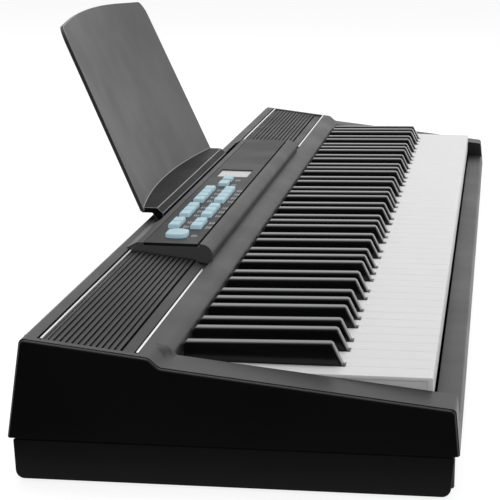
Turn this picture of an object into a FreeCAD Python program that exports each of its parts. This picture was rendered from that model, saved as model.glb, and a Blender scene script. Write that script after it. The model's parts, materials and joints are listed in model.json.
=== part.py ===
import FreeCAD, Part
import math
import os
import re
import Sketcher

# Digital piano with 88 keys: a moulded upper case with cheeks, front rail and raised control
# block on a lower tray, keys that rock on a fulcrum ridge, and a lift-out music rest.
# Every sub-part is drawn in keyboard coordinates: x to the right from the left side of the
# lowest white key, y to the rear from the white key fronts, z up from the white key tops.
# place() then moves it to the row's frame, which stands on the floor with +Z up.

document = FreeCAD.newDocument("DigitalPiano")
sheet = document.addObject("Spreadsheet::Sheet", "Sizes")

SIZES = {
    # where the keyboard lies in the row's frame
    "key_front_y": -145.73,
    "foot_height": 2.0,
    # how far a cut runs past the surface that it opens
    "overshoot": 1.0,
    # white keys
    "white_count": 52,
    "white_pitch": 23.5,
    "white_gap": 0.6,
    "cap_thickness": 2.2,
    "cap_overhang": 0.8,
    "cap_bevel": 0.7,
    "cap_web": 1.2,
    "lip_thickness": 3.2,
    "lip_drop": 17.0,
    "key_wall": 1.8,
    "key_body_drop": 12.0,
    "key_tail_drop": 8.2,
    # black keys: middle of each one from the left side of its octave
    "c_sharp_middle": 21.15,
    "d_sharp_middle": 49.35,
    "f_sharp_middle": 90.64,
    "g_sharp_middle": 117.5,
    "a_sharp_middle": 144.36,
    "black_front": 52.4,
    "black_back": 144.3,
    "black_width": 10.4,
    "black_taper": 0.7,
    "black_height": 13.1,
    "black_sill": 0.7,
    "black_nose_run": 6.4,
    "black_fall": 2.1,
    "black_bevel": 0.7,
    "black_gap": 0.9,
    "black_front_gap": 1.5,
    # fulcrum that all keys rock on
    "hinge_y": 163.0,
    "hinge_drop": 5.0,
    "ridge_width": 4.0,
    "ridge_height": 5.0,
    "notch_width": 6.6,
    "notch_clearance": 0.05,
    "key_step_y": 153.5,
    "tail_length": 4.5,
    "white_dip": 10.0,
    # case seen from its end
    "cheek_width": 38.7,
    "side_gap": 0.3,
    "front_gap": 0.9,
    "case_front": 16.8,
    "case_back": 234.8,
    "front_rake": 2.8,
    "back_rake": 6.4,
    "seam_drop": 34.8,
    "seam_gap": 1.4,
    "seam_rebate": 1.2,
    "case_drop": 58.5,
    "cheek_drop": 7.33,
    "cheek_slope": 0.1042,
    "rail_drop": 22.3,
    "rail_round": 2.0,
    "cheek_back": 149.8,
    "deck_front": 155.8,
    "deck_height": 13.5,
    "deck_slope": 0.1127,
    "step_round": 6.0,
    "top_round": 3.0,
    "rim_width": 2.4,
    "rim_drop": 0.6,
    "rim_round": 1.5,
    "bottom_round": 5.0,
    "bottom_draft": 2.0,
    "case_wall": 2.5,
    "lower_inset": 2.8,
    "seam_flange": 7.0,
    "flange_thickness": 2.0,
    # front edge of the deck, rolled down over the keys, and the felt under it
    "lip_y": 145.0,
    "lip_wall": 2.5,
    "lip_round": 9.0,
    "felt_thickness": 2.4,
    "felt_width": 5.0,
    "felt_gap": 0.3,
    # raised control block
    "block_left": 279.5,
    "block_length": 632.0,
    "block_front": 161.2,
    "block_back": 214.5,
    "block_height": 25.1,
    "block_round": 8.5,
    "block_back_round": 1.5,
    "block_ramp": 7.5,
    # control panel plate
    "panel_front": 172.2,
    "panel_back": 209.4,
    "panel_thickness": 2.0,
    "panel_groove": 1.6,
    "panel_gap": 0.4,
    "panel_ledge": 3.0,
    "panel_seat": 2.6,
    # slot for the music rest
    "slot_left": 384.0,
    "slot_length": 521.0,
    "slot_front": 214.2,
    "slot_width": 6.6,
    "slot_top": 21.0,
    "trough_top": 20.0,
    "slot_depth": 8.0,
    # music rest
    "rest_middle": 596.0,
    "rest_half_width": 193.0,
    "rest_taper": 9.0,
    "rest_height": 156.0,
    "rest_thickness": 3.0,
    "rest_bow": 10.0,
    "rest_crown": 8.5,
    "rest_crown_round": 1700.0,
    "rest_corner": 16.0,
    "rest_lean": 25.2,
    "rest_foot_y": 230.0,
    "ledge_height": 30.6,
    "ledge_front": 219.8,
    "ledge_thickness": 4.0,
    "ledge_web": 4.0,
    "ledge_inset": 3.0,
    "tongue_thickness": 4.2,
    "tongue_clearance": 0.4,
    # speaker grilles and their bright trims
    "grille_margin": 9.0,
    "grille_front": 162.4,
    "grille_back": 219.7,
    "grille_recess": 3.4,
    "grille_thickness": 2.0,
    "grille_ledge": 3.4,
    "grille_clearance": 0.15,
    "trim_width": 1.4,
    "front_groove": 2.0,
    "back_groove": 1.7,
    "trim_proud": 0.3,
    "rib_pitch": 3.44,
    "rib_gap": 1.2,
    "rib_count": 13,
    "rib_band": 6.6,
    "grille_end_band": 2.0,
    "corner_run": 24.0,
    "corner_depth": 7.0,
    "trim_gap": 38.0,
    "bar_width": 2.0,
    "bar_drop": 2.0,
    "bar_count": 2,
    # buttons
    "button_left": 345.0,
    "button_pitch": 20.5,
    "button_length": 18.8,
    "button_depth": 7.6,
    "button_proud": 3.0,
    "button_travel": 1.0,
    "button_clearance": 0.35,
    "button_bevel": 0.6,
    "button_flange": 1.0,
    "flange_reach": 1.2,
    "switch_clearance": 0.1,
    "switch_width": 6.0,
    "group_gap": 14.5,
    "rear_row_y": 198.8,
    "front_row_y": 182.6,
    "pair_left": 573.0,
    "pair_pitch": 28.0,
    "pair_y": 191.6,
    "oval_left": 301.0,
    "oval_length": 27.0,
    "oval_depth": 15.0,
    "oval_y": 191.2,
    # display
    "display_left": 634.0,
    "display_length": 46.0,
    "display_front": 178.5,
    "display_depth": 26.5,
    "display_sink": 0.8,
    "display_clearance": 0.2,
    "window_thickness": 1.2,
    "module_margin": 1.5,
    # key frame and what lies on it
    "frame_front": 3.0,
    "frame_sheet": 2.0,
    "frame_margin": 0.7,
    "frame_back": 169.5,
    "step_clearance": 1.0,
    "shelf_front": 134.0,
    "board_thickness": 1.6,
    "contact_gap": 2.3,
    "contact_height": 2.0,
    "board_depth": 17.0,
    "contact_front": 141.8,
    "contact_depth": 6.0,
    "finger_width": 5.0,
    "finger_gap": 0.7,
    "finger_thickness": 0.8,
    "finger_reach": 3.0,
    # speakers
    "speaker_length": 96.0,
    "speaker_width": 47.5,
    "basket_depth": 16.0,
    "speaker_flange": 2.0,
    "cone_radius": 16.0,
    "cone_depth": 9.0,
    "magnet_radius": 15.0,
    "magnet_height": 9.0,
    "speaker_y": 191.2,
    # jacks in a recess of the rear wall
    "jack_panel_left": 850.0,
    "jack_panel_length": 110.0,
    "jack_panel_height": 24.0,
    "jack_panel_y": 227.0,
    "jack_drop": 14.0,
    "jack_radius": 3.25,
    "jack_depth": 16.0,
    "jack_pitch": 26.0,
    "jack_inset": 22.0,
    "jack_body": 14.0,
    "jack_nose": 5.0,
    "jack_fit": 0.1,
    "jack_body_depth": 20.0,
    "inlet_radius": 4.2,
    "inlet_pin": 1.1,
    # main board
    "main_board_left": 640.0,
    "main_board_length": 150.0,
    "main_board_front": 176.0,
    "main_board_depth": 44.0,
    "main_board_lift": 8.0,
    "post_width": 5.0,
    "processor_left": 20.0,
    "processor_front": 12.0,
    "processor_width": 22.0,
    "amplifier_left": 70.0,
    "amplifier_front": 10.0,
    "amplifier_width": 14.0,
    "header_left": 105.0,
    "header_length": 35.0,
    "header_depth": 6.0,
    # ribs, screws and feet
    "rib_wall": 2.0,
    "lower_rib_count": 7,
    "lower_rib_margin": 20.0,
    "screw_radius": 1.75,
    "screw_head_radius": 3.4,
    "screw_head_height": 2.4,
    "screw_sink": 1.0,
    "screw_clearance": 0.15,
    "screw_grip": 9.0,
    "screw_count": 3,
    "screw_margin": 20.0,
    "screw_front_y": -8.6,
    "screw_back_y": 223.6,
    "boss_radius": 5.4,
    "foot_radius": 9.0,
    "foot_inset": 34.0,
}

for row, (name, size) in enumerate(SIZES.items(), start=1):
    sheet.set(f"A{row}", name)
    sheet.set(f"B{row}", str(size))
    sheet.setAlias(f"B{row}", name)
document.recompute()


def bound(text):
    """Expression that reads each named size from the sheet."""
    def from_sheet(word):
        return "Sizes." + word.group() if word.group() in SIZES else word.group()
    return re.sub(r"[a-z][a-z_]*", from_sheet, f"({text})")


def number(text):
    """Value that an expression of named sizes has now, in millimetres."""
    return float(sheet.evalExpression(bound(text)))


# Places that many pieces share, worked out from the sizes.
KEYS_LENGTH = "(white_count * white_pitch)"
OCTAVE = "(7 * white_pitch)"
CASE_LEFT = "(-side_gap - cheek_width)"
CASE_LENGTH = "(white_count * white_pitch + 2 * (side_gap + cheek_width))"
KEY_BACK = "(hinge_y + tail_length)"
FRAME_TOP = "(-lip_drop - white_dip - felt_gap - felt_thickness)"
BOARD_TOP = "(-key_body_drop - contact_gap - contact_height)"
RIDGE_FOOT = "(-hinge_drop - ridge_height)"
PANEL_BOTTOM = "(block_height - panel_thickness)"
BUTTON_BOARD_TOP = "(block_height - panel_thickness - panel_ledge)"
BLOCK_RIGHT = "(block_left + block_length)"
SLOT_BOTTOM = "(slot_top - slot_depth)"
TRAY_FLOOR = "(-case_drop + case_wall)"
JACK_BOARD_TOP = "(-jack_drop - jack_body / 2)"
LIP_BOTTOM = "(felt_gap + felt_thickness)"


def cheek(across):
    """Height of the cheek tops at a distance from the key fronts."""
    return f"(cheek_slope * ({across}) - cheek_drop)"


def deck(across):
    """Height of the sloping deck at a distance from the key fronts."""
    return f"(deck_height + deck_slope * (({across}) - deck_front))"


# Drawing helpers. A corner is (across, up) or (across, up, radius), all expressions of sizes.

PLANES = {"top": "XY_Plane", "front": "XZ_Plane", "end": "YZ_Plane"}


def new_body(name):
    body = document.addObject("PartDesign::Body", name)
    body.Label = name
    return body


def new_sketch(body, view, start):
    """Sketch seen from the top, front or end, at a distance start along z, y or x."""
    plane = next(item for item in body.Origin.OriginFeatures if item.Role == PLANES[view])
    sketch = body.newObject("Sketcher::SketchObject", body.Name + "_sketch")
    sketch.AttachmentSupport = (plane, [""])
    sketch.MapMode = "FlatFace"
    sign = "-" if view == "front" else ""
    sketch.setExpression("AttachmentOffset.Base.z", bound(f"{sign}({start})"))
    return sketch


def fix_size(sketch, constraint, text):
    place_in_list = sketch.addConstraint(constraint)
    sketch.setExpression(f"Constraints[{place_in_list}]", bound(text))


def fix_point(sketch, item, end, across, up):
    fix_size(sketch, Sketcher.Constraint("DistanceX", -1, 1, item, end, number(across)), across)
    fix_size(sketch, Sketcher.Constraint("DistanceY", -1, 1, item, end, number(up)), up)


def draw_loop(sketch, corners):
    """Closed outline of straight sides, with a tangent arc at each corner that has a radius."""
    points = [FreeCAD.Vector(number(corner[0]), number(corner[1]), 0) for corner in corners]
    radii = [number(corner[2]) if len(corner) > 2 else 0.0 for corner in corners]
    arrivals, departures, centres, left_turns = [], [], [], []
    for here, point in enumerate(points):
        backward = (points[here - 1] - point).normalize()
        forward = (points[(here + 1) % len(points)] - point).normalize()
        half_angle = backward.getAngle(forward) / 2
        reach = radii[here] / math.tan(half_angle)
        arrivals.append(point + backward * reach)
        departures.append(point + forward * reach)
        middle_way = (backward + forward).normalize() if radii[here] else FreeCAD.Vector()
        centres.append(point + middle_way * (radii[here] / math.sin(half_angle)))
        left_turns.append(forward.cross(backward).z > 0)
    sides = []
    for here in range(len(points)):
        arrival = arrivals[(here + 1) % len(points)]
        sides.append(sketch.addGeometry(Part.LineSegment(departures[here], arrival), False))
    for here, corner in enumerate(corners):
        before, after = sides[here - 1], sides[here]
        if not radii[here]:
            sketch.addConstraint(Sketcher.Constraint("Coincident", before, 2, after, 1))
            fix_point(sketch, after, 1, *corner)
            continue
        ends = [(arrivals[here], before, 2), (departures[here], after, 1)]
        if not left_turns[here]:
            ends.reverse()
        angles = [math.atan2(*reversed(tuple(end[0] - centres[here])[:2])) for end in ends]
        circle = Part.Circle(centres[here], FreeCAD.Vector(0, 0, 1), radii[here])
        arc = sketch.addGeometry(Part.ArcOfCircle(circle, *angles), False)
        for arc_end, (_, side, side_end) in enumerate(ends, start=1):
            sketch.addConstraint(Sketcher.Constraint("Tangent", arc, arc_end, side, side_end))
        fix_size(sketch, Sketcher.Constraint("Radius", arc, radii[here]), corner[2])
        tip = sketch.addGeometry(Part.Point(points[here]), True)
        fix_point(sketch, tip, 1, corner[0], corner[1])
        sketch.addConstraint(Sketcher.Constraint("PointOnObject", tip, 1, before))
        sketch.addConstraint(Sketcher.Constraint("PointOnObject", tip, 1, after))


def outline(body, view, start, *loops):
    sketch = new_sketch(body, view, start)
    for corners in loops:
        draw_loop(sketch, corners)
    return sketch


def circles(body, view, start, centres, radius):
    """Sketch of equal circles round the given centres."""
    sketch = new_sketch(body, view, start)
    for across, up in centres:
        middle = FreeCAD.Vector(number(across), number(up), 0)
        ring = Part.Circle(middle, FreeCAD.Vector(0, 0, 1), number(radius))
        item = sketch.addGeometry(ring, False)
        fix_point(sketch, item, 3, across, up)
        fix_size(sketch, Sketcher.Constraint("Radius", item, number(radius)), radius)
    return sketch


def rectangle(left, right, low, high, radius=None):
    corners = [(left, low), (right, low), (right, high), (left, high)]
    return [(*corner, radius) for corner in corners] if radius else corners


def swept(body, kind, sketch, length):
    feature = body.newObject("PartDesign::" + kind, f"{body.Name}_{kind}")
    feature.Profile = sketch
    feature.setExpression("Length", bound(length))
    seen_from_front = sketch.AttachmentSupport[0][0].Role == PLANES["front"]
    feature.Reversed = seen_from_front if kind == "Pad" else not seen_from_front
    sketch.Visibility = False
    body.Tip = feature
    return feature


def pad(body, sketch, length):
    """Add material from the sketch towards +x, +y or +z."""
    return swept(body, "Pad", sketch, length)


def cut(body, sketch, length):
    """Take material away from the sketch towards +x, +y or +z."""
    return swept(body, "Pocket", sketch, length)


def repeat(body, features, role, step, count):
    """Copies of features in a row along one of the body's axes."""
    axis = next(item for item in body.Origin.OriginFeatures if item.Role == role)
    pattern = body.newObject("PartDesign::LinearPattern", body.Name + "_row")
    pattern.Originals = features
    pattern.Direction = (axis, [""])
    pattern.Mode = "Spacing"
    pattern.setExpression("Offset", bound(step))
    pattern.setExpression("Occurrences", bound(count))
    body.Tip = pattern
    return pattern


def dress(body, kind, size_name, size, chosen):
    """Fillet or chamfer of the edges that chosen picks by their end points."""
    document.recompute()
    base = body.Tip
    edges = []
    for count, edge in enumerate(base.Shape.Edges, start=1):
        if chosen([vertex.Point for vertex in edge.Vertexes]):
            edges.append(f"Edge{count}")
    if not edges:
        raise ValueError(f"{body.Label}: no edge to dress")
    feature = body.newObject("PartDesign::" + kind, f"{body.Name}_{kind}")
    feature.Base = (base, edges)
    feature.setExpression(size_name, bound(size))
    body.Tip = feature


def bevel(body, size, chosen):
    dress(body, "Chamfer", "Size", size, chosen)


def fillet(body, size, chosen):
    dress(body, "Fillet", "Radius", size, chosen)


def all_at(points, axis, text):
    """Whether all points have this coordinate, 0 for x, 1 for y or 2 for z."""
    return all(abs(point[axis] - number(text)) < 1e-4 for point in points)


def place(piece, shift="0"):
    """Move a piece from keyboard coordinates to the row's frame."""
    piece.setExpression("Placement.Base.x", bound(f"{shift} - {KEYS_LENGTH} / 2"))
    piece.setExpression("Placement.Base.y", bound("key_front_y"))
    piece.setExpression("Placement.Base.z", bound("case_drop + foot_height"))
    return piece


# Case


def screw_columns():
    step = f"({CASE_LENGTH} - 2 * screw_margin) / (screw_count - 1)"
    return [f"{CASE_LEFT} + screw_margin + {column} * {step}"
            for column in range(int(number("screw_count")))]


def screw_row(line):
    return [(column, line) for column in screw_columns()]


def end_posts(left, length, front):
    """Two square posts inside the ends of a board, drawn from its front edge."""
    starts = [f"{left} + rib_wall", f"{left} + {length} - rib_wall - post_width"]
    return [rectangle(start, f"{start} + post_width", front, f"{front} + post_width")
            for start in starts]


def lower_case():
    """Open tray with a rebated rim, ribs under the key frame, screw bosses and board posts."""
    body = new_body("lower_case")
    left = f"({CASE_LEFT} + lower_inset)"
    length = f"({CASE_LENGTH} - 2 * lower_inset)"
    right = f"({left} + {length})"
    front, back = "(lower_inset - case_front)", "(case_back - lower_inset)"
    shell = [(front, "-seam_drop"),
             (f"{front} + bottom_draft", "-case_drop", "bottom_round"),
             (f"{back} - bottom_draft", "-case_drop", "bottom_round"),
             (back, "-seam_drop")]
    pad(body, outline(body, "end", left, shell), length)
    inner_round = "(bottom_round - case_wall)"
    inside = [(f"{front} + case_wall", "-seam_drop"),
              (f"{front} + case_wall + bottom_draft", TRAY_FLOOR, inner_round),
              (f"{back} - case_wall - bottom_draft", TRAY_FLOOR, inner_round),
              (f"{back} - case_wall", "-seam_drop")]
    cut(body, outline(body, "end", f"{left} + case_wall", inside), f"{length} - 2 * case_wall")
    beyond = rectangle(f"{left} - overshoot", f"{right} + overshoot",
                       f"{front} - overshoot", f"{back} + overshoot")
    kept = rectangle(f"{left} + seam_rebate", f"{right} - seam_rebate",
                     f"{front} + seam_rebate", f"{back} - seam_rebate")
    cut(body, outline(body, "top", "-seam_drop - seam_gap", beyond, kept), "seam_gap + overshoot")
    root = f"({TRAY_FLOOR} - case_wall / 2)"
    rib_left = "frame_margin + lower_rib_margin"
    rib = rectangle(rib_left, f"{rib_left} + rib_wall", "frame_front + frame_sheet", "frame_back")
    first_rib = pad(body, outline(body, "top", root, rib), f"{FRAME_TOP} - frame_sheet - {root}")
    span = f"{KEYS_LENGTH} - 2 * (frame_margin + lower_rib_margin) - rib_wall"
    repeat(body, [first_rib], "X_Axis", f"({span}) / (lower_rib_count - 1)", "lower_rib_count")
    bosses = screw_row("screw_front_y") + screw_row("screw_back_y")
    pad(body, circles(body, "top", root, bosses, "boss_radius"), f"-seam_drop - {root}")
    for line in ("main_board_front + rib_wall",
                 "main_board_front + main_board_depth - rib_wall - post_width"):
        posts = end_posts("main_board_left", "main_board_length", line)
        pad(body, outline(body, "top", root, *posts), f"{TRAY_FLOOR} + main_board_lift - {root}")
    posts = end_posts("jack_panel_left", "jack_panel_length",
                      "jack_panel_y - case_wall - jack_body_depth / 2")
    pad(body, outline(body, "top", root, *posts), f"{JACK_BOARD_TOP} - board_thickness - {root}")
    under = "-case_drop - overshoot"
    cut(body, circles(body, "top", under, bosses, "screw_radius + screw_clearance"), "case_drop")
    cut(body, circles(body, "top", under, bosses, "screw_head_radius + screw_clearance"),
        "overshoot + screw_head_height + screw_sink")
    return place(body)


def upper_outline(inset):
    """Shell seen from the left end: front face, cheek top, step, deck and back."""
    front_top = "(front_rake - case_front)"
    back_top = "(case_back - back_rake)"
    return [(f"{inset} - case_front", "-seam_drop"),
            (f"{front_top} + {inset}", f"{cheek(front_top)} - {inset}", "top_round"),
            ("cheek_back", f"{cheek('cheek_back')} - {inset}", "step_round"),
            ("deck_front", f"deck_height - {inset}", "step_round"),
            (f"{back_top} - {inset}", f"{deck(back_top)} - {inset}", "top_round"),
            (f"case_back - {inset}", "-seam_drop")]


def lip_outline():
    """Front edge of the deck seen from the end: a bent wall that ends over the keys' felt."""
    inner, back = "(lip_y + lip_wall)", "(deck_front + step_round / 2)"
    return [("lip_y", LIP_BOTTOM), (inner, LIP_BOTTOM),
            (inner, f"{deck(inner)} - lip_wall", "lip_round - lip_wall"),
            (back, f"{deck(back)} - lip_wall"), (back, deck(back)),
            ("lip_y", deck("lip_y"), "lip_round")]


def block_outline():
    """Control block seen from the end, with its foot inside the deck."""
    return [("block_front", "deck_height - case_wall"),
            ("block_front", "block_height", "block_round"),
            ("block_back", "block_height", "block_back_round"),
            ("block_back + block_ramp", deck("block_back + block_ramp")),
            ("block_back + block_ramp", "deck_height - case_wall")]


def deck_strip(front, back, over, under):
    """Band that follows the deck, from a height over it to a depth under it."""
    return [(front, f"{deck(front)} - {under}"), (back, f"{deck(back)} - {under}"),
            (back, f"{deck(back)} + {over}"), (front, f"{deck(front)} + {over}")]


def grille_spans():
    """Left edge and length of each grille recess: beside the block, up to its walls."""
    left_start = f"({CASE_LEFT} + grille_margin)"
    right_length = f"({CASE_LEFT} + {CASE_LENGTH} - grille_margin - {BLOCK_RIGHT})"
    return [(left_start, f"(block_left - {left_start})"), (BLOCK_RIGHT, right_length)]


def speaker_middles():
    return [f"({start} + {length} / 2)" for start, length in grille_spans()]


def hollow_upper_case(body, left):
    """Cavities of the shell: behind the keys, in both cheeks and in the front rail."""
    floor = "(-seam_drop + flange_thickness)"
    rail_front = "(front_rake - case_front + case_wall)"
    slope_front = "(case_wall - case_front)"
    cavity_front = "key_step_y"
    cavity_back = "(case_back - back_rake - case_wall)"
    rear = [(cavity_front, floor), ("case_back - case_wall", floor),
            (cavity_back, f"{deck(cavity_back)} - case_wall"),
            (f"{cavity_front} + step_round", f"{deck(cavity_front)} - case_wall"),
            (cavity_front, f"{cheek(cavity_front)} - case_wall")]
    cut(body, outline(body, "end", f"{left} + case_wall", rear), f"{CASE_LENGTH} - 2 * case_wall")
    side = [(slope_front, floor), (f"{cavity_front} + overshoot", floor),
            (f"{cavity_front} + overshoot", f"{cheek(cavity_front)} - case_wall"),
            (rail_front, f"{cheek(rail_front)} - case_wall")]
    side_length = "cheek_width - 2 * case_wall"
    for start in (f"{left} + case_wall", f"{KEYS_LENGTH} + side_gap + case_wall"):
        cut(body, outline(body, "end", start, side), side_length)
    rail_back, rail_top = "(-front_gap - case_wall)", "(-rail_drop - case_wall)"
    rail = [(slope_front, floor), (rail_back, floor), (rail_back, rail_top),
            (f"{slope_front} + front_rake / 2", rail_top)]
    cut(body, outline(body, "end", "-side_gap - overshoot - case_wall", rail),
        f"{KEYS_LENGTH} + 2 * (side_gap + case_wall + overshoot)")
    mouth = rectangle(f"{left} + seam_flange", f"{left} + {CASE_LENGTH} - seam_flange",
                      "seam_flange - case_front", "case_back - seam_flange")
    cut(body, outline(body, "top", "-seam_drop - overshoot", mouth), "flange_thickness + overshoot")


def upper_case():
    """Shell with cheeks, low front rail, deck and control block, open where the keys are."""
    body = new_body("upper_case")
    left, right = CASE_LEFT, f"({CASE_LEFT} + {CASE_LENGTH})"
    pad(body, outline(body, "end", left, upper_outline("rim_drop")), CASE_LENGTH)
    for end in (left, right):
        fillet(body, "rim_round", lambda points: all_at(points, 0, end)
               and not all_at(points, 2, "-seam_drop"))
    pad(body, outline(body, "end", f"{left} + rim_width", upper_outline("0")),
        f"{CASE_LENGTH} - 2 * rim_width")
    pad(body, outline(body, "end", "block_left", block_outline()), "block_length")
    keys_left, keys_span = "(-side_gap)", f"({KEYS_LENGTH} + 2 * side_gap)"
    keys = rectangle(keys_left, f"{keys_left} + {keys_span}", "-front_gap", "key_step_y")
    cut(body, outline(body, "top", "-seam_drop - overshoot", keys),
        "seam_drop + deck_height + 2 * overshoot")
    above_rail = rectangle("-case_front - overshoot", "0", "-rail_drop", "deck_height")
    cut(body, outline(body, "end", keys_left, above_rail), keys_span)
    fillet(body, "rail_round", lambda points: all_at(points, 2, "-rail_drop")
           and all(point.y < number("-front_gap - rail_round") for point in points))
    hollow_upper_case(body, left)
    pad(body, outline(body, "end", keys_left, lip_outline()), keys_span)
    # Room for the button board, below the ledges that the panel lies on.
    inside_left, inside_length = "(block_left + case_wall)", "(block_length - 2 * case_wall)"
    room = rectangle("block_front + panel_seat", "block_back - case_wall",
                     "deck_height - 2 * case_wall", BUTTON_BOARD_TOP)
    cut(body, outline(body, "end", inside_left, room), inside_length)
    bed = rectangle("block_left - overshoot", f"{BLOCK_RIGHT} + overshoot",
                    "panel_front - panel_groove", "panel_back + panel_gap")
    cut(body, outline(body, "top", PANEL_BOTTOM, bed), "panel_thickness + overshoot")
    window = rectangle(f"{inside_left} + panel_seat", f"{BLOCK_RIGHT} - case_wall - panel_seat",
                       "panel_front + panel_seat", "panel_back - panel_seat")
    cut(body, outline(body, "top", f"{BUTTON_BOARD_TOP} - overshoot", window),
        "panel_ledge + 2 * overshoot")
    # Trough and slot for the music rest.
    slot_back = "(slot_front + slot_width)"
    slot_right = "(slot_left + slot_length)"
    trough = rectangle("slot_left - case_wall", f"{slot_right} + case_wall",
                       "slot_front - case_wall", f"{slot_back} + case_wall")
    trough_floor = f"({SLOT_BOTTOM} - case_wall)"
    pad(body, outline(body, "top", trough_floor, trough), f"trough_top - {trough_floor}")
    # Bosses that take the case screws.
    for line, top in (("screw_front_y", "-rail_drop"), ("screw_back_y", deck("screw_back_y"))):
        row = screw_row(line)
        pad(body, circles(body, "top", "-seam_drop", row, "boss_radius"),
            f"{top} - case_wall / 2 + seam_drop")
        cut(body, circles(body, "top", "-seam_drop - overshoot", row,
                          "screw_radius + screw_clearance"), "screw_grip + 2 * overshoot")
    # Sloping beds for the grilles, open over the speakers.
    for start, length in grille_spans():
        bed = deck_strip("grille_front - case_wall", "grille_back + case_wall",
                         "-case_wall / 2", "(grille_recess + case_wall)")
        pad(body, outline(body, "end", start, bed), length)
        recess = deck_strip("grille_front", "grille_back", "1", "grille_recess")
        cut(body, outline(body, "end", start, recess), length)
        mouth = rectangle(f"{start} + grille_ledge", f"{start} + {length} - grille_ledge",
                          "grille_front + front_groove + trim_width + grille_ledge",
                          "grille_back - back_groove - trim_width - grille_ledge")
        cut(body, outline(body, "top", "0", mouth), "block_height")
    # Recess with an upright floor for the jacks.
    panel_right = "jack_panel_left + jack_panel_length"
    low, high = "-jack_drop - jack_panel_height / 2", "-jack_drop + jack_panel_height / 2"
    backing = rectangle("jack_panel_left - case_wall", f"{panel_right} + case_wall",
                        f"{low} - case_wall", f"{high} + case_wall")
    pad(body, outline(body, "front", "jack_panel_y - case_wall", backing), "case_wall * 2")
    recess = rectangle("jack_panel_left", panel_right, low, high)
    cut(body, outline(body, "front", "jack_panel_y", recess), "case_back")
    holes = [(column, "-jack_drop") for column in jack_columns()]
    cut(body, circles(body, "front", "jack_panel_y - 2 * case_wall", holes,
                      "jack_nose + jack_fit"), "case_wall * 3")
    slot = rectangle("slot_left", slot_right, "slot_front", slot_back)
    cut(body, outline(body, "top", SLOT_BOTTOM, slot), "slot_depth + block_height")
    return place(body)


def jack_columns():
    return [f"jack_panel_left + jack_inset + {column} * jack_pitch" for column in range(3)]


def rubber_feet():
    columns = [f"{CASE_LEFT} + foot_inset", f"{CASE_LEFT} + {CASE_LENGTH} - foot_inset"]
    lines = ["foot_inset - case_front", "case_back - foot_inset"]
    corners = [(column, line) for column in columns for line in lines]
    solids = []
    for count, corner in enumerate(corners, start=1):
        foot = new_body(f"foot_{count}")
        pad(foot, circles(foot, "top", "-case_drop - foot_height", [corner], "foot_radius"),
            "foot_height")
        solids.append(place(foot))
    return solids


def case_screws():
    solids = []
    places = screw_row("screw_front_y") + screw_row("screw_back_y")
    head_bottom = "(-case_drop + screw_sink - screw_clearance)"
    for count, screw_place in enumerate(places, start=1):
        screw = new_body(f"case_screw_{count}")
        pad(screw, circles(screw, "top", head_bottom, [screw_place], "screw_head_radius"),
            "screw_head_height")
        pad(screw, circles(screw, "top", head_bottom, [screw_place], "screw_radius"),
            f"screw_grip - seam_drop - {head_bottom}")
        solids.append(place(screw))
    return solids


# Control panel, buttons and display


def button_groups():
    """Left edge and number of buttons of each group along a row."""
    groups = []
    left = "button_left"
    for buttons in (2, 3, 4):
        groups.append((left, buttons))
        left = f"({left} + {buttons} * button_pitch + group_gap)"
    return groups


def button_rows():
    """Each strip of buttons: name, left edge, number, pitch and middle line."""
    rows = []
    for row_name, line in (("rear", "rear_row_y"), ("front", "front_row_y")):
        for side, (left, buttons) in zip(("left", "middle", "right"), button_groups()):
            rows.append((f"{row_name}_buttons_{side}", left, buttons, line))
    rows.append(("display_button_left", "pair_left", 1, "pair_y"))
    rows.append(("display_button_right", "pair_left + pair_pitch", 1, "pair_y"))
    return rows


def cap_outline(left, line, grow):
    """Outline of a strip's first cap, grown by a clearance all round."""
    return rectangle(f"{left} - {grow}", f"{left} + button_length + {grow}",
                     f"{line} - button_depth / 2 - {grow}", f"{line} + button_depth / 2 + {grow}")


def along_strip(body, feature, buttons):
    """Repeat a feature of the first button for the others of its strip."""
    if buttons > 1:
        repeat(body, [feature], "X_Axis", "button_pitch", str(buttons))


def oval_cap(grow):
    half = f"(oval_depth / 2 + {grow})"
    return rectangle(f"oval_left - {grow}", f"oval_left + oval_length + {grow}",
                     f"oval_y - {half}", f"oval_y + {half}", f"({half} - 0.2)")


def button_strip(name, left, buttons, line):
    """Caps joined by the flange that holds them under the panel."""
    body = new_body(name)
    flange_top = f"({PANEL_BOTTOM} - switch_clearance)"
    flange = rectangle(f"{left} - flange_reach",
                       f"{left} + {buttons - 1} * button_pitch + button_length + flange_reach",
                       f"{line} - button_depth / 2 - flange_reach",
                       f"{line} + button_depth / 2 + flange_reach")
    pad(body, outline(body, "top", f"{flange_top} - button_flange", flange), "button_flange")
    cap_top = "block_height + button_proud"
    cap = cap_outline(left, line, "0")
    first = pad(body, outline(body, "top", flange_top, cap), f"{cap_top} - {flange_top}")
    along_strip(body, first, buttons)
    bevel(body, "button_bevel", lambda points: all_at(points, 2, cap_top))
    return place(body)


def oval_button():
    body = new_body("oval_button")
    flange_top = f"({PANEL_BOTTOM} - switch_clearance)"
    flange = rectangle("oval_left - flange_reach", "oval_left + oval_length + flange_reach",
                       "oval_y - oval_depth / 2 - flange_reach",
                       "oval_y + oval_depth / 2 + flange_reach")
    pad(body, outline(body, "top", f"{flange_top} - button_flange", flange), "button_flange")
    cap_top = "block_height + button_proud"
    pad(body, outline(body, "top", flange_top, oval_cap("0")), f"{cap_top} - {flange_top}")
    bevel(body, "button_bevel", lambda points: all_at(points, 2, cap_top))
    return place(body)


def display_outline(grow):
    return rectangle(f"display_left - {grow}", f"display_left + display_length + {grow}",
                     f"display_front - {grow}", f"display_front + display_depth + {grow}")


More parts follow.
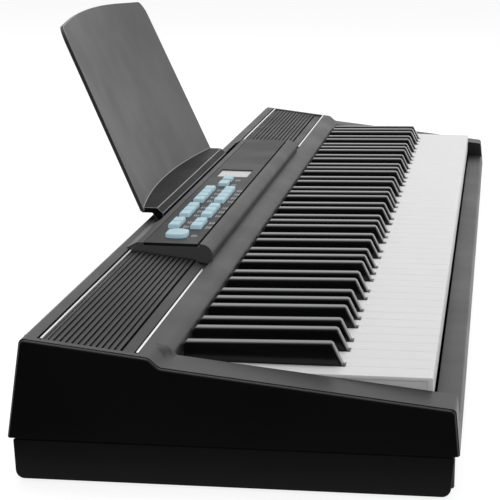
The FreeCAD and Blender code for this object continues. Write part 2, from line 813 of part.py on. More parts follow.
def control_panel():
    """Plate in the top of the block, with a hole for each button and for the display."""
    body = new_body("control_panel")
    plate = rectangle("block_left + panel_gap", f"{BLOCK_RIGHT} - panel_gap", "panel_front",
                      "panel_back")
    pad(body, outline(body, "top", PANEL_BOTTOM, plate), "panel_thickness")
    under, through = f"{PANEL_BOTTOM} - overshoot", "panel_thickness + 2 * overshoot"
    openings = [display_outline("0"), oval_cap("button_clearance")]
    cut(body, outline(body, "top", under, *openings), through)
    for name, left, buttons, line in button_rows():
        hole = cap_outline(left, line, "button_clearance")
        along_strip(body, cut(body, outline(body, "top", under, hole), through), buttons)
    return place(body)


def display_window():
    body = new_body("display_window")
    bottom = "block_height - display_sink - window_thickness"
    pad(body, outline(body, "top", bottom, display_outline("-display_clearance")),
        "window_thickness")
    return place(body)


def display_module():
    """Framed display panel that stands on the button board under the window."""
    body = new_body("display_module")
    height = f"{PANEL_BOTTOM} - switch_clearance - {BUTTON_BOARD_TOP}"
    pad(body, outline(body, "top", BUTTON_BOARD_TOP, display_outline("module_margin")), height)
    return place(body)


def button_board():
    """Circuit board under the panel, with one switch under each button."""
    body = new_body("button_board")
    margin = "(case_wall + panel_seat / 2)"
    board = rectangle(f"block_left + {margin}", f"{BLOCK_RIGHT} - {margin}",
                      "panel_front - panel_groove", "panel_back + panel_gap")
    pad(body, outline(body, "top", f"{BUTTON_BOARD_TOP} - board_thickness", board),
        "board_thickness")
    height = "panel_ledge - button_flange - button_travel - 2 * switch_clearance"
    oval = ("oval_button", "oval_left + (oval_length - button_length) / 2", 1, "oval_y")
    half = "switch_width / 2"
    for name, left, buttons, line in button_rows() + [oval]:
        middle = f"{left} + button_length / 2"
        switch = rectangle(f"{middle} - {half}", f"{middle} + {half}", f"{line} - {half}",
                           f"{line} + {half}")
        first = pad(body, outline(body, "top", BUTTON_BOARD_TOP, switch), height)
        along_strip(body, first, buttons)
    return place(body)


# Speakers and their grilles


def grille_plate_lines():
    """Front and back edge of the ribbed plate, between the bright trims and their grooves."""
    return ("(grille_front + trim_width + front_groove)",
            "(grille_back - back_groove - trim_width)")


def grille(name, start, length, block_side):
    """Plate that follows the deck, slotted lengthwise, with crossbars under the ribs.

    block_side is the end beside the block, 0 for left or 1 for right; its front corner is cut.
    """
    body = new_body(name)
    front, back = grille_plate_lines()
    clearance = "grille_clearance"
    bottom = "grille_recess"
    left, long = f"({start} + {clearance})", f"({length} - 2 * {clearance})"
    plate = deck_strip(front, f"{back} - {clearance}", f"(grille_thickness - {bottom})", bottom)
    pad(body, outline(body, "end", left, plate), long)
    edge = f"({left} + {block_side} * {long})"
    run = f"({block_side} * 2 - 1) * corner_run"
    corner = [(f"{edge} - {run}", f"{front} - overshoot"),
              (f"{edge} + {run}", f"{front} - overshoot"), (edge, f"{front} + corner_depth")]
    cut(body, outline(body, "top", "0", corner), "block_height")
    slot_front = f"({front} + rib_band)"
    slot = rectangle(f"{left} + grille_end_band", f"{left} + {long} - grille_end_band",
                     slot_front, f"{slot_front} + rib_gap")
    first = cut(body, outline(body, "top", "0", slot), "block_height")
    repeat(body, [first], "Y_Axis", "rib_pitch", "rib_count")
    bar_front = f"({front} + grille_ledge + {clearance})"
    bar_back = f"({back} - grille_ledge - {clearance})"
    bar = deck_strip(bar_front, bar_back, f"(0.01 - {bottom})", f"({bottom} + bar_drop)")
    step = f"{long} / (bar_count + 1)"
    for count in range(1, int(number("bar_count")) + 1):
        pad(body, outline(body, "end", f"{left} + {count} * {step} - bar_width / 2", bar),
            "bar_width")
    return place(body)


def grille_trims(name, start, length, block_side):
    """Bright strip along the front of the recess and another behind the ribbed plate."""
    front, back = grille_plate_lines()
    strips = []
    for side, edge, gap in (("front", "grille_front", "trim_gap"), ("back", back, "0")):
        strip = new_body(f"{name}_{side}")
        band = deck_strip(f"{edge} + grille_clearance / 2",
                          f"{edge} + trim_width - grille_clearance / 2", "trim_proud",
                          "grille_recess")
        pad(strip, outline(strip, "end", f"{start} + grille_clearance + {1 - block_side} * {gap}",
                           band), f"{length} - 2 * grille_clearance - {gap}")
        strips.append(place(strip))
    return strips


def speaker(name, middle):
    """Oval speaker that hangs under the sloping bed: basket with an open cone, and magnet."""
    body = new_body(name)
    half_length, half_width = "speaker_length / 2", "speaker_width / 2"
    flange = rectangle(f"-({half_length})", half_length, f"-({half_width})", half_width,
                       "speaker_width / 3")
    pad(body, outline(body, "top", "-speaker_flange", flange), "speaker_flange")
    rim = "speaker_flange * 2"
    cup = rectangle(f"{rim} - {half_length}", f"{half_length} - {rim}", f"{rim} - {half_width}",
                    f"{half_width} - {rim}", "speaker_width / 3 - speaker_flange * 2")
    pad(body, outline(body, "top", "-basket_depth", cup), "basket_depth - speaker_flange")
    cone = body.newObject("PartDesign::SubtractiveCone", name + "_cone")
    cone.setExpression("Radius1", bound("cone_radius / 3"))
    cone.setExpression("Radius2", bound("cone_radius"))
    cone.setExpression("Height", bound("cone_depth"))
    cone.setExpression("Placement.Base.z", bound("-cone_depth"))
    body.Tip = cone
    magnet_bottom = "-basket_depth - magnet_height"
    pad(body, circles(body, "top", magnet_bottom, [("0", "0")], "magnet_radius"),
        "magnet_height")
    bed_bottom = f"({deck('speaker_y')} - grille_recess - case_wall)"
    body.setExpression("Placement.Base.x", bound(f"{middle} - {KEYS_LENGTH} / 2"))
    body.setExpression("Placement.Base.y", bound("key_front_y + speaker_y"))
    body.setExpression("Placement.Base.z", bound(f"case_drop + foot_height + {bed_bottom}"))
    body.Placement.Rotation.Axis = FreeCAD.Vector(1, 0, 0)
    body.setExpression("Placement.Rotation.Angle", "atan(Sizes.deck_slope)")
    return body


# Keys

MIDDLE_OCTAVE = 4
OCTAVES = 7


def octave_left(octave):
    """Left side of an octave; two white keys lie to the left of the first whole one."""
    return f"({(octave - 1) * 7 + 2} * white_pitch)"


def white_corners(left, tail_left, tail_right, inset, front, back):
    """White key seen from above, notched beside its black neighbours, drawn in by inset."""
    head_left = f"({left} + white_gap / 2 + {inset})"
    head_right = f"({left} + white_pitch - white_gap / 2 - {inset})"
    shoulder = f"(black_front - black_front_gap - {inset})"
    corners = [(head_left, front), (head_right, front)]
    if tail_right:
        corners += [(head_right, shoulder), (f"{tail_right} - {inset}", shoulder)]
    corners.append((f"{tail_right} - {inset}" if tail_right else head_right, back))
    corners.append((f"{tail_left} + {inset}" if tail_left else head_left, back))
    if tail_left:
        corners += [(f"{tail_left} + {inset}", shoulder), (head_left, shoulder)]
    return corners


def rear_underside():
    """Stepped underside of a key's rear end, with the notch that rocks on the ridge."""
    below = "(-key_body_drop - overshoot)"
    return [("key_step_y", below), (f"{KEY_BACK} + overshoot", below),
            (f"{KEY_BACK} + overshoot", "-key_tail_drop"),
            ("hinge_y + notch_width / 2", "-key_tail_drop"),
            ("hinge_y", "notch_clearance - hinge_drop"),
            ("hinge_y - notch_width / 2", "-key_tail_drop"), ("key_step_y", "-key_tail_drop")]


def white_key(name, left, sharp_left=None, sharp_right=None):
    """Moulded key: thin overhanging top, hollow body, front lip and notched rear end."""
    body = new_body(name)
    reach = "(black_width / 2 + black_gap)"
    tail_left = f"({sharp_left} + {reach})" if sharp_left else None
    tail_right = f"({sharp_right} - {reach})" if sharp_right else None

    def plan(inset, front, back):
        return white_corners(left, tail_left, tail_right, inset, front, back)

    pad(body, outline(body, "top", "-cap_thickness", plan("0", "0", KEY_BACK)), "cap_thickness")
    lip = rectangle(f"{left} + white_gap / 2", f"{left} + white_pitch - white_gap / 2", "0",
                    "lip_thickness")
    pad(body, outline(body, "top", "-lip_drop", lip), "lip_drop - cap_thickness")
    sides = plan("cap_overhang", "lip_thickness / 2", KEY_BACK)
    pad(body, outline(body, "top", "-key_body_drop", sides), "key_body_drop - cap_thickness")
    inset = "(cap_overhang + key_wall)"
    hollow = rectangle(f"{tail_left or left + ' + white_gap / 2'} + {inset}",
                       f"{tail_right or left + ' + white_pitch - white_gap / 2'} - {inset}",
                       "lip_thickness", "key_step_y - 2 * key_wall")
    cut(body, outline(body, "top", "-key_body_drop - overshoot", hollow),
        "key_body_drop + overshoot - cap_thickness - cap_web")
    cut(body, outline(body, "end", left, rear_underside()), "white_pitch")
    bevel(body, "cap_bevel", lambda points: all_at(points, 1, "0") and all_at(points, 2, "0"))
    return place(body)


def black_key(name, middle):
    """Raised key with a sloping nose and narrower top, low behind the edge of the deck."""
    body = new_body(name)
    side = [("black_front", "-key_body_drop"), ("black_front", "black_sill"),
            ("black_front + black_nose_run", "black_height"),
            ("black_back", "black_height - black_fall"), ("black_back", "0"), (KEY_BACK, "0"),
            (KEY_BACK, "-key_tail_drop")]
    notch = rear_underside()[3:]
    side += notch + [("key_step_y", "-key_body_drop")]
    left = f"({middle} - black_width / 2)"
    pad(body, outline(body, "end", left, side), "black_width")
    right = f"({left} + black_width)"
    top = "(black_height + overshoot)"
    for edge, inward in ((left, "+"), (right, "-")):
        wedge = [(edge, "black_sill"), (f"{edge} {inward} black_taper", top), (edge, top)]
        cut(body, outline(body, "front", "black_front - overshoot", wedge),
            "black_back - black_front + 2 * overshoot")
    bevel(body, "black_bevel", lambda points: max(point.z for point in points)
          - min(point.z for point in points) > number("black_fall") / 2
          and min(point.z for point in points) > number("black_height - 2 * black_fall")
          and abs(points[0].x - points[-1].x) < number("black_taper"))
    hollow = rectangle(f"{left} + key_wall", f"{right} - key_wall",
                       "black_front + black_nose_run", "key_step_y - 2 * key_wall")
    cut(body, outline(body, "top", "-key_body_drop - overshoot", hollow),
        "key_body_drop + overshoot - cap_thickness - cap_web")
    return place(body)


WHITE_NEIGHBOURS = {
    "c": (None, "c_sharp_middle"),
    "d": ("c_sharp_middle", "d_sharp_middle"),
    "e": ("d_sharp_middle", None),
    "f": (None, "f_sharp_middle"),
    "g": ("f_sharp_middle", "g_sharp_middle"),
    "a": ("g_sharp_middle", "a_sharp_middle"),
    "b": ("a_sharp_middle", None),
}


def middle_octave_keys():
    """The twelve keys of the octave from middle C, each with its place in the octave."""
    start = octave_left(MIDDLE_OCTAVE)
    whites, blacks = {}, {}
    for count, (letter, (sharp_left, sharp_right)) in enumerate(WHITE_NEIGHBOURS.items()):
        whites[letter] = white_key(f"white_key_{letter}{MIDDLE_OCTAVE}",
                                   f"({start} + {count} * white_pitch)",
                                   f"({start} + {sharp_left})" if sharp_left else None,
                                   f"({start} + {sharp_right})" if sharp_right else None)
    for letter in "cdfga":
        blacks[letter] = black_key(f"black_key_{letter}_sharp{MIDDLE_OCTAVE}",
                                   f"({start} + {letter}_sharp_middle)")
    return whites, blacks


def octave_copy(master, octave):
    """Copy of a middle octave key in another octave."""
    copy = document.addObject("App::Link", f"{master.Name}_in_octave_{octave}")
    copy.LinkedObject = master
    return place(copy, f"{octave - MIDDLE_OCTAVE} * {OCTAVE}")


def group(name, members):
    """Separate solids that share one node."""
    compound = document.addObject("Part::Compound", name)
    compound.Label = name
    compound.Links = members
    return compound


def key_banks(whites, blacks):
    """The keys of every other octave, one group for its white keys and one for its black."""
    banks = []
    top_left = octave_left(OCTAVES + 1)
    lowest = white_key("lowest_white_key", "0", None, f"(a_sharp_middle - 5 * white_pitch)")
    highest = white_key("highest_white_key", top_left)
    for octave in range(OCTAVES + 1):
        if octave == MIDDLE_OCTAVE:
            continue
        white_letters, black_letters = ("b", "a") if octave == 0 else ("cdefgab", "cdfga")
        white_solids = [octave_copy(whites[letter], octave) for letter in white_letters]
        black_solids = [octave_copy(blacks[letter], octave) for letter in black_letters]
        white_solids += {0: [lowest], OCTAVES: [highest]}.get(octave, [])
        banks.append(group(f"white_keys_octave_{octave}", white_solids))
        banks.append(group(f"black_keys_octave_{octave}", black_solids))
    return banks


# Key frame and what it carries


def key_frame():
    """Bent sheet under all keys: front plate, shelf for the contacts and fulcrum ridge."""
    body = new_body("key_frame")
    shelf_top = f"({BOARD_TOP} - board_thickness)"
    shelf_back = "(key_step_y + step_clearance)"
    top_side = [("frame_front", FRAME_TOP), ("shelf_front", FRAME_TOP),
                ("shelf_front", shelf_top), (shelf_back, shelf_top), (shelf_back, RIDGE_FOOT),
                ("hinge_y - ridge_width / 2", RIDGE_FOOT), ("hinge_y", "-hinge_drop"),
                ("hinge_y + ridge_width / 2", RIDGE_FOOT), ("frame_back", RIDGE_FOOT)]
    under = "frame_sheet"
    foot = f"{FRAME_TOP} - {under}"
    underside = [("frame_back", foot), (f"frame_back - {under}", foot),
                 (f"frame_back - {under}", f"{RIDGE_FOOT} - {under}"),
                 (f"{shelf_back} + {under}", f"{RIDGE_FOOT} - {under}"),
                 (f"{shelf_back} + {under}", f"{shelf_top} - {under}"),
                 (f"shelf_front + {under}", f"{shelf_top} - {under}"),
                 (f"shelf_front + {under}", foot), ("frame_front", foot)]
    pad(body, outline(body, "end", "frame_margin", top_side + underside),
        f"{KEYS_LENGTH} - 2 * frame_margin")
    return place(body)


def press_felt():
    """Strip that stops the white key fronts at the bottom of their travel."""
    body = new_body("press_felt")
    strip = rectangle("frame_margin", f"{KEYS_LENGTH} - frame_margin", "frame_front",
                      "frame_front + 2 * felt_width")
    pad(body, outline(body, "top", FRAME_TOP, strip), "felt_thickness")
    return place(body)


def rest_felt():
    """Strip under the deck's front edge that stops the keys on their way up."""
    body = new_body("rest_felt")
    strip = rectangle("frame_margin", f"{KEYS_LENGTH} - frame_margin",
                      "lip_y + lip_wall - felt_width / 2", "lip_y + lip_wall + felt_width / 2")
    pad(body, outline(body, "top", "felt_gap", strip), "felt_thickness")
    return place(body)


def key_contact_board():
    """Long circuit board on the frame's shelf, with a rubber contact strip for each octave."""
    body = new_body("key_contact_board")
    board = rectangle("frame_margin", f"{KEYS_LENGTH} - frame_margin", "shelf_front",
                      "shelf_front + board_depth")
    pad(body, outline(body, "top", f"{BOARD_TOP} - board_thickness", board), "board_thickness")
    first = f"({octave_left(1)} + contact_gap)"
    contact = rectangle(first, f"{first} + {OCTAVE} - 2 * contact_gap", "contact_front",
                        "contact_front + contact_depth")
    strip = pad(body, outline(body, "top", BOARD_TOP, contact), "contact_height")
    repeat(body, [strip], "X_Axis", OCTAVE, str(OCTAVES))
    return place(body)


KEY_COUNT = 88
KEY_STEP = f"({OCTAVE} / 12)"


def key_lane(count):
    """Middle of a key's rear end, counted from the lowest key; all lanes are equally wide."""
    return f"({octave_left(1)} + ({count} - 2.5) * {KEY_STEP})"


def hold_down_comb():
    """Spring comb behind the keys; its fingers reach over their rear ends."""
    body = new_body("hold_down_comb")
    finger_bottom = "finger_gap"
    back_strip = [("frame_back", FRAME_TOP), ("frame_back + finger_thickness", FRAME_TOP),
                  ("frame_back + finger_thickness", f"{finger_bottom} + finger_thickness"),
                  ("frame_back", f"{finger_bottom} + finger_thickness")]
    pad(body, outline(body, "end", "frame_margin", back_strip),
        f"{KEYS_LENGTH} - 2 * frame_margin")
    first = key_lane("0")
    finger = rectangle(f"{first} - finger_width / 2", f"{first} + finger_width / 2",
                       f"{KEY_BACK} - finger_reach", "frame_back")
    first_finger = pad(body, outline(body, "top", finger_bottom, finger), "finger_thickness")
    repeat(body, [first_finger], "X_Axis", KEY_STEP, str(KEY_COUNT))
    return place(body)


def main_board():
    """Circuit board on the tray's posts, with its larger parts."""
    body = new_body("main_board")
    bottom = f"({TRAY_FLOOR} + main_board_lift)"
    right, back = "main_board_left + main_board_length", "main_board_front + main_board_depth"
    board = rectangle("main_board_left", right, "main_board_front", back)
    pad(body, outline(body, "top", bottom, board), "board_thickness")
    top = f"({bottom} + board_thickness)"
    chips = []
    for chip in ("processor", "amplifier"):
        left = f"main_board_left + {chip}_left"
        front = f"main_board_front + {chip}_front"
        chips.append(rectangle(left, f"{left} + {chip}_width", front, f"{front} + {chip}_width"))
    header_left = "main_board_left + header_left"
    header = rectangle(header_left, f"{header_left} + header_length",
                       f"{back} - 2 * header_depth", f"{back} - header_depth")
    pad(body, outline(body, "top", top, *chips, header), "board_thickness * 2")
    return place(body)


# Sockets in the rear wall


def jack_board():
    body = new_body("jack_board")
    board = rectangle("jack_panel_left + jack_fit", "jack_panel_left + jack_panel_length",
                      "jack_panel_y - case_wall - jack_body_depth - jack_fit",
                      "jack_panel_y - case_wall - jack_fit")
    pad(body, outline(body, "top", f"{JACK_BOARD_TOP} - board_thickness", board),
        "board_thickness")
    return place(body)


def socket_body(name, column, bore):
    """Socket housing on the jack board, with a nose through the wall and a blind bore."""
    body = new_body(name)
    inner_face = "(jack_panel_y - case_wall)"
    half = "jack_body / 2"
    box = rectangle(f"{column} - {half}", f"{column} + {half}", JACK_BOARD_TOP,
                    f"{JACK_BOARD_TOP} + jack_body")
    pad(body, outline(body, "front", f"{inner_face} - jack_fit - jack_body_depth", box),
        "jack_body_depth")
    middle = [(column, "-jack_drop")]
    pad(body, circles(body, "front", f"{inner_face} - jack_fit - overshoot", middle, "jack_nose"),
        "case_wall + jack_fit + overshoot")
    cut(body, circles(body, "front", "jack_panel_y - jack_depth", middle, bore),
        "jack_depth + overshoot")
    return body


def phone_jacks():
    """Headphone and pedal sockets."""
    first, second = jack_columns()[:2]
    return [place(socket_body("headphone_jack", first, "jack_radius")),
            place(socket_body("pedal_jack", second, "jack_radius"))]


def power_inlet():
    """Low-voltage inlet with its centre pin."""
    column = jack_columns()[2]
    body = socket_body("power_inlet", column, "inlet_radius")
    pad(body, circles(body, "front", "jack_panel_y - jack_depth - overshoot",
                      [(column, "-jack_drop")], "inlet_pin"), "jack_depth - overshoot")
    return place(body)


# Music rest


def music_rest():
    """Bowed, leaning sheet on a level ledge whose tongue stands in the slot."""
    reach = "(rest_half_width - ledge_inset)"
    ledge = new_body("rest_ledge")
    bottom, top = "(ledge_height - ledge_thickness)", "ledge_height"
    foot_back = "(rest_foot_y + rest_thickness / 2)"
    plate = [(f"rest_middle - {reach}", "ledge_front"), (f"rest_middle + {reach}", "ledge_front"),
             (f"rest_middle + {reach}", foot_back),
             ("rest_middle", f"{foot_back} + 2 * rest_bow", "rest_half_width * 4"),
             (f"rest_middle - {reach}", foot_back)]
    pad(ledge, outline(ledge, "top", bottom, plate), "ledge_thickness")
    tongue_back = "(slot_front + slot_width / 2 + tongue_thickness / 2)"
    tongue_front = f"({tongue_back} - tongue_thickness)"
    foot = f"({SLOT_BOTTOM} + tongue_clearance)"
    tongue = [(tongue_front, foot), (tongue_back, foot),
              (tongue_back, "slot_top + tongue_clearance"),
              (f"{tongue_back} + ledge_web", bottom), (f"{tongue_back} + ledge_web", top),
              ("ledge_front", top), (tongue_front, bottom)]
    pad(ledge, outline(ledge, "end", f"rest_middle - {reach}", tongue), f"2 * {reach}")
    place(ledge)

    panel = new_body("rest_panel")
    top_half = "(rest_half_width - rest_taper)"
    shoulder = "(rest_height - rest_crown)"
    foot = "-ledge_thickness / 2"
    face = [("-rest_half_width", foot), ("rest_half_width", foot),
            (top_half, shoulder, "rest_corner"),
            ("0", "rest_height + rest_crown / 2", "rest_crown_round"),
            (f"-{top_half}", shoulder, "rest_corner")]
    pad(panel, outline(panel, "front", "-rest_bow", face), "4 * rest_bow")
    curve = "((rest_half_width * rest_half_width + rest_bow * rest_bow) / (2 * rest_bow))"
    bands = []
    for side, radius in (("back", f"{curve} + rest_thickness"), ("front", curve)):
        band = document.addObject("Part::Cylinder", f"rest_{side}_curve")
        band.setExpression("Radius", bound(radius))
        band.setExpression("Height", bound("rest_height * 2"))
        band.setExpression("Placement.Base.y", bound(f"rest_bow - {curve}"))
        band.setExpression("Placement.Base.z", bound("-rest_height / 2"))
        bands.append(band)
    shell = document.addObject("Part::Cut", "rest_shell")
    shell.Base, shell.Tool = bands
    sheet_part = document.addObject("Part::Common", "rest_sheet")
    sheet_part.Base, sheet_part.Tool = shell, panel
    sheet_part.Placement.Rotation.Axis = FreeCAD.Vector(1, 0, 0)
    sheet_part.setExpression("Placement.Rotation.Angle", bound("-rest_lean"))
    sheet_part.setExpression("Placement.Base.x", bound(f"rest_middle - {KEYS_LENGTH} / 2"))
    sheet_part.setExpression("Placement.Base.y", bound("key_front_y + rest_foot_y"))
    sheet_part.setExpression("Placement.Base.z",
                             bound("case_drop + foot_height + ledge_height"))
    rest = document.addObject("Part::MultiFuse", "music_rest")
    rest.Label = "music_rest"
    rest.Shapes = [ledge, sheet_part]
    return rest


def build():
    """Make every node and return them."""
    whites, blacks = middle_octave_keys()
    nodes = [lower_case(), upper_case(), group("rubber_feet", rubber_feet()),
             group("case_screws", case_screws()), control_panel(), display_window(),
             display_module(), button_board(), oval_button()]
    nodes += [button_strip(*row) for row in button_rows()]
    for side, (start, length), middle, block_side in zip(("left", "right"), grille_spans(),
                                                         speaker_middles(), (1, 0)):
        nodes.append(grille(f"{side}_grille", start, length, block_side))
        nodes.append(group(f"{side}_grille_trims",
                           grille_trims(f"{side}_trim", start, length, block_side)))
        nodes.append(speaker(f"{side}_speaker", middle))
    nodes += [*whites.values(), *blacks.values(), *key_banks(whites, blacks)]
    nodes += [key_frame(), press_felt(), rest_felt(), key_contact_board(), hold_down_comb(),
              main_board(), jack_board(), group("phone_jacks", phone_jacks()), power_inlet(),
              music_rest()]
    return nodes


def check(nodes):
    """Stop where a feature failed, a cut or pad changed nothing, or a shape is not sound."""
    for item in document.Objects:
        if any(word in state for state in item.State for word in ("Invalid", "Error")):
            raise ValueError(f"{item.Label} did not recompute")
        if item.TypeId in ("PartDesign::Pad", "PartDesign::Pocket") and item.BaseFeature:
            change = item.Shape.Volume - item.BaseFeature.Shape.Volume
            if abs(change) < 1e-3 or (change > 0) != (item.TypeId == "PartDesign::Pad"):
                raise ValueError(f"{item.Label} changed the volume by {change:.3f}")
    for node in nodes:
        if node.Shape.isNull() or not node.Shape.isValid():
            raise ValueError(f"{node.Label} is not a sound shape")


nodes = build()
document.recompute()
check(nodes)
os.makedirs("parts", exist_ok=True)
for node in nodes:
    node.Shape.exportStep(f"parts/{node.Label}.step")
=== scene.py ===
import json
import math

import bmesh
import bpy
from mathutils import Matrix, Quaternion, Vector, noise
from mathutils.bvhtree import BVHTree

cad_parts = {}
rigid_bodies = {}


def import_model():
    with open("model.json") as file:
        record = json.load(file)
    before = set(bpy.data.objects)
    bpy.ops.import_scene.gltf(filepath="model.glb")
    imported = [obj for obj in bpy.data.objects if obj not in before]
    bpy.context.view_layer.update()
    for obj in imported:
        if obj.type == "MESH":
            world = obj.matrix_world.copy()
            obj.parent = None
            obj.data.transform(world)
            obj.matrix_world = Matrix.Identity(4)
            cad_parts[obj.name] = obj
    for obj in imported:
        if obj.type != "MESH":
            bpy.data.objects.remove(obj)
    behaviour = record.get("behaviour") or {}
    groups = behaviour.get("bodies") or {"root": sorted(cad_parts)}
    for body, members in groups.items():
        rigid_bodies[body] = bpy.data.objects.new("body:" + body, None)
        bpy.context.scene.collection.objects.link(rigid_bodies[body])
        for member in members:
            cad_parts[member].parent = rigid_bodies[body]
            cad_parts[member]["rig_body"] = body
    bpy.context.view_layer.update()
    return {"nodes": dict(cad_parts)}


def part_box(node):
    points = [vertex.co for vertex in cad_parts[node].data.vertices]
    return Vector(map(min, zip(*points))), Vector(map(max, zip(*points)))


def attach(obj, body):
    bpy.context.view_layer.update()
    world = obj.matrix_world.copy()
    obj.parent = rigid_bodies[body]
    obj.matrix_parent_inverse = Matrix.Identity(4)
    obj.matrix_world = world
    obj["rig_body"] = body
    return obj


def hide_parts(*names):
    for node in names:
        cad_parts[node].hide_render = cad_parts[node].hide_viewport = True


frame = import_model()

# Rubber feet
#
# Four round pads of soft black rubber glued under the corners of the tray. Each one is
# moulded with a softened rim and three raised rings that keep the instrument from sliding.

foot_rim = 0.0004
foot_rings = 3
foot_ring_thickness = 0.0005
foot_ring_start = 0.6
merge_reach = 1e-6


def add_node(tree, kind, inputs, **settings):
    """Node of a tree. Each input gets a plain value or the socket that it reads."""
    node = tree.nodes.new(kind)
    for name, value in settings.items():
        setattr(node, name, value)
    for name, value in inputs.items():
        if isinstance(value, bpy.types.NodeSocket):
            tree.links.new(value, node.inputs[name])
        else:
            node.inputs[name].default_value = value
    return node


def new_material(name):
    """Empty finish: its tree, its shader and the place on the piece that patterns read."""
    material = bpy.data.materials.new(name)
    material.use_nodes = True
    tree = material.node_tree
    where = add_node(tree, "ShaderNodeTexCoord", {}).outputs["Object"]
    return material, tree, tree.nodes["Principled BSDF"], where


def coat(tree, shader, colour, shine=None, relief=None):
    """Give a finish its colour and, where it has them, its uneven shine and fine relief."""
    tree.links.new(colour.outputs["Color"], shader.inputs["Base Color"])
    if shine is not None:
        tree.links.new(shine.outputs["Result"], shader.inputs["Roughness"])
    if relief is not None:
        tree.links.new(relief.outputs["Normal"], shader.inputs["Normal"])


def moulded_plastic(name, shade, roughness, grain, gloss, depth=0.2):
    """Grained plastic or rubber: fine pores, and slow changes of shade and shine.

    The grain is the size of one pore, and the depth how deep it looks.
    """
    material, tree, shader, where = new_material(name)
    pores = add_node(tree, "ShaderNodeTexNoise",
                     {"Vector": where, "Scale": 1 / grain, "Detail": 2.0})
    clouds = add_node(tree, "ShaderNodeTexNoise", {"Vector": where, "Scale": 14.0, "Detail": 4.0})
    mixed = add_node(tree, "ShaderNodeMath",
                     {0: pores.outputs["Fac"], 1: clouds.outputs["Fac"]}, operation="MULTIPLY")
    shades = add_node(tree, "ShaderNodeMixRGB",
                      {"Fac": mixed.outputs[0], "Color1": [level * 0.85 for level in shade] + [1],
                       "Color2": [min(level * 1.45, 1) for level in shade] + [1]})
    shine = add_node(tree, "ShaderNodeMapRange",
                     {"Value": clouds.outputs["Fac"], "From Min": 0.35, "From Max": 0.65,
                      "To Min": roughness * 0.92, "To Max": roughness * 1.08})
    bumps = add_node(tree, "ShaderNodeBump",
                     {"Height": pores.outputs["Fac"], "Strength": depth, "Distance": grain / 5})
    shader.inputs["Specular IOR Level"].default_value = gloss
    coat(tree, shader, shades, shine, bumps)
    return material


def solids_of(node):
    """Lowest and highest corner of each separate solid of a node."""
    shape = bmesh.new()
    shape.from_mesh(frame["nodes"][node].data)
    bmesh.ops.remove_doubles(shape, verts=shape.verts, dist=merge_reach)
    left = set(shape.verts)
    corners = []
    while left:
        waiting = [left.pop()]
        solid = []
        while waiting:
            vert = waiting.pop()
            solid.append(vert.co.copy())
            for edge in vert.link_edges:
                other = edge.other_vert(vert)
                if other in left:
                    left.remove(other)
                    waiting.append(other)
        corners.append((Vector([min(point[axis] for point in solid) for axis in range(3)]),
                        Vector([max(point[axis] for point in solid) for axis in range(3)])))
    shape.free()
    return corners


def start_tree(name, sizes):
    """Geometry tree with its places and its named sizes as inputs."""
    tree = bpy.data.node_groups.new(name, "GeometryNodeTree")
    tree.interface.new_socket("Places", in_out="INPUT", socket_type="NodeSocketGeometry")
    for label, size in sizes.items():
        kind = "NodeSocketInt" if isinstance(size, int) else "NodeSocketFloat"
        tree.interface.new_socket(label, in_out="INPUT", socket_type=kind)
    tree.interface.new_socket("Shape", in_out="OUTPUT", socket_type="NodeSocketGeometry")
    return tree, tree.nodes.new("NodeGroupInput").outputs


def maths(tree, operation, first, second=0.0):
    """Result of one sum in a tree."""
    return add_node(tree, "ShaderNodeMath", {0: first, 1: second}, operation=operation).outputs[0]


def vector_of(tree, x, y, z):
    """Vector of a tree, from three numbers or sockets."""
    return add_node(tree, "ShaderNodeCombineXYZ", {"X": x, "Y": y, "Z": z}).outputs[0]


def joined(tree, *shapes):
    """Several shapes of a tree as one."""
    together = tree.nodes.new("GeometryNodeJoinGeometry")
    for shape in shapes:
        tree.links.new(shape, together.inputs["Geometry"])
    return together.outputs["Geometry"]


def on_places(tree, places, shape):
    """Copies of the shape, one at each place."""
    copies = add_node(tree, "GeometryNodeInstanceOnPoints", {"Points": places, "Instance": shape})
    return copies.outputs["Instances"]


def end_tree(tree, shape, material):
    """Make the copies real and give them their finish."""
    solid = add_node(tree, "GeometryNodeRealizeInstances", {"Geometry": shape})
    coated = add_node(tree, "GeometryNodeSetMaterial",
                      {"Geometry": solid.outputs["Geometry"], "Material": material})
    add_node(tree, "NodeGroupOutput", {"Shape": coated.outputs["Geometry"]})


def add_to_scene(name, data):
    """New object of the scene that holds a mesh, a lamp or a camera."""
    piece = bpy.data.objects.new(name, data)
    bpy.context.scene.collection.objects.link(piece)
    return piece


def middles_of(solids):
    """Middle of the underside of each solid."""
    return [((low.x + high.x) / 2, (low.y + high.y) / 2, low.z) for low, high in solids]


def repeated_piece(name, tree, sizes, places):
    """Piece with the plain mesh that a geometry tree makes at the given places."""
    points = bpy.data.meshes.new(name + "_places")
    points.from_pydata(places, [], [])
    piece = add_to_scene(name, points)
    making = piece.modifiers.new("making", "NODES")
    making.node_group = tree
    for socket in tree.interface.items_tree:
        if socket.name in sizes:
            making[socket.identifier] = sizes[socket.name]
    made = piece.evaluated_get(bpy.context.evaluated_depsgraph_get())
    mesh = bpy.data.meshes.new_from_object(made)
    piece.modifiers.remove(making)
    piece.data = mesh
    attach(piece, "case")
    return piece


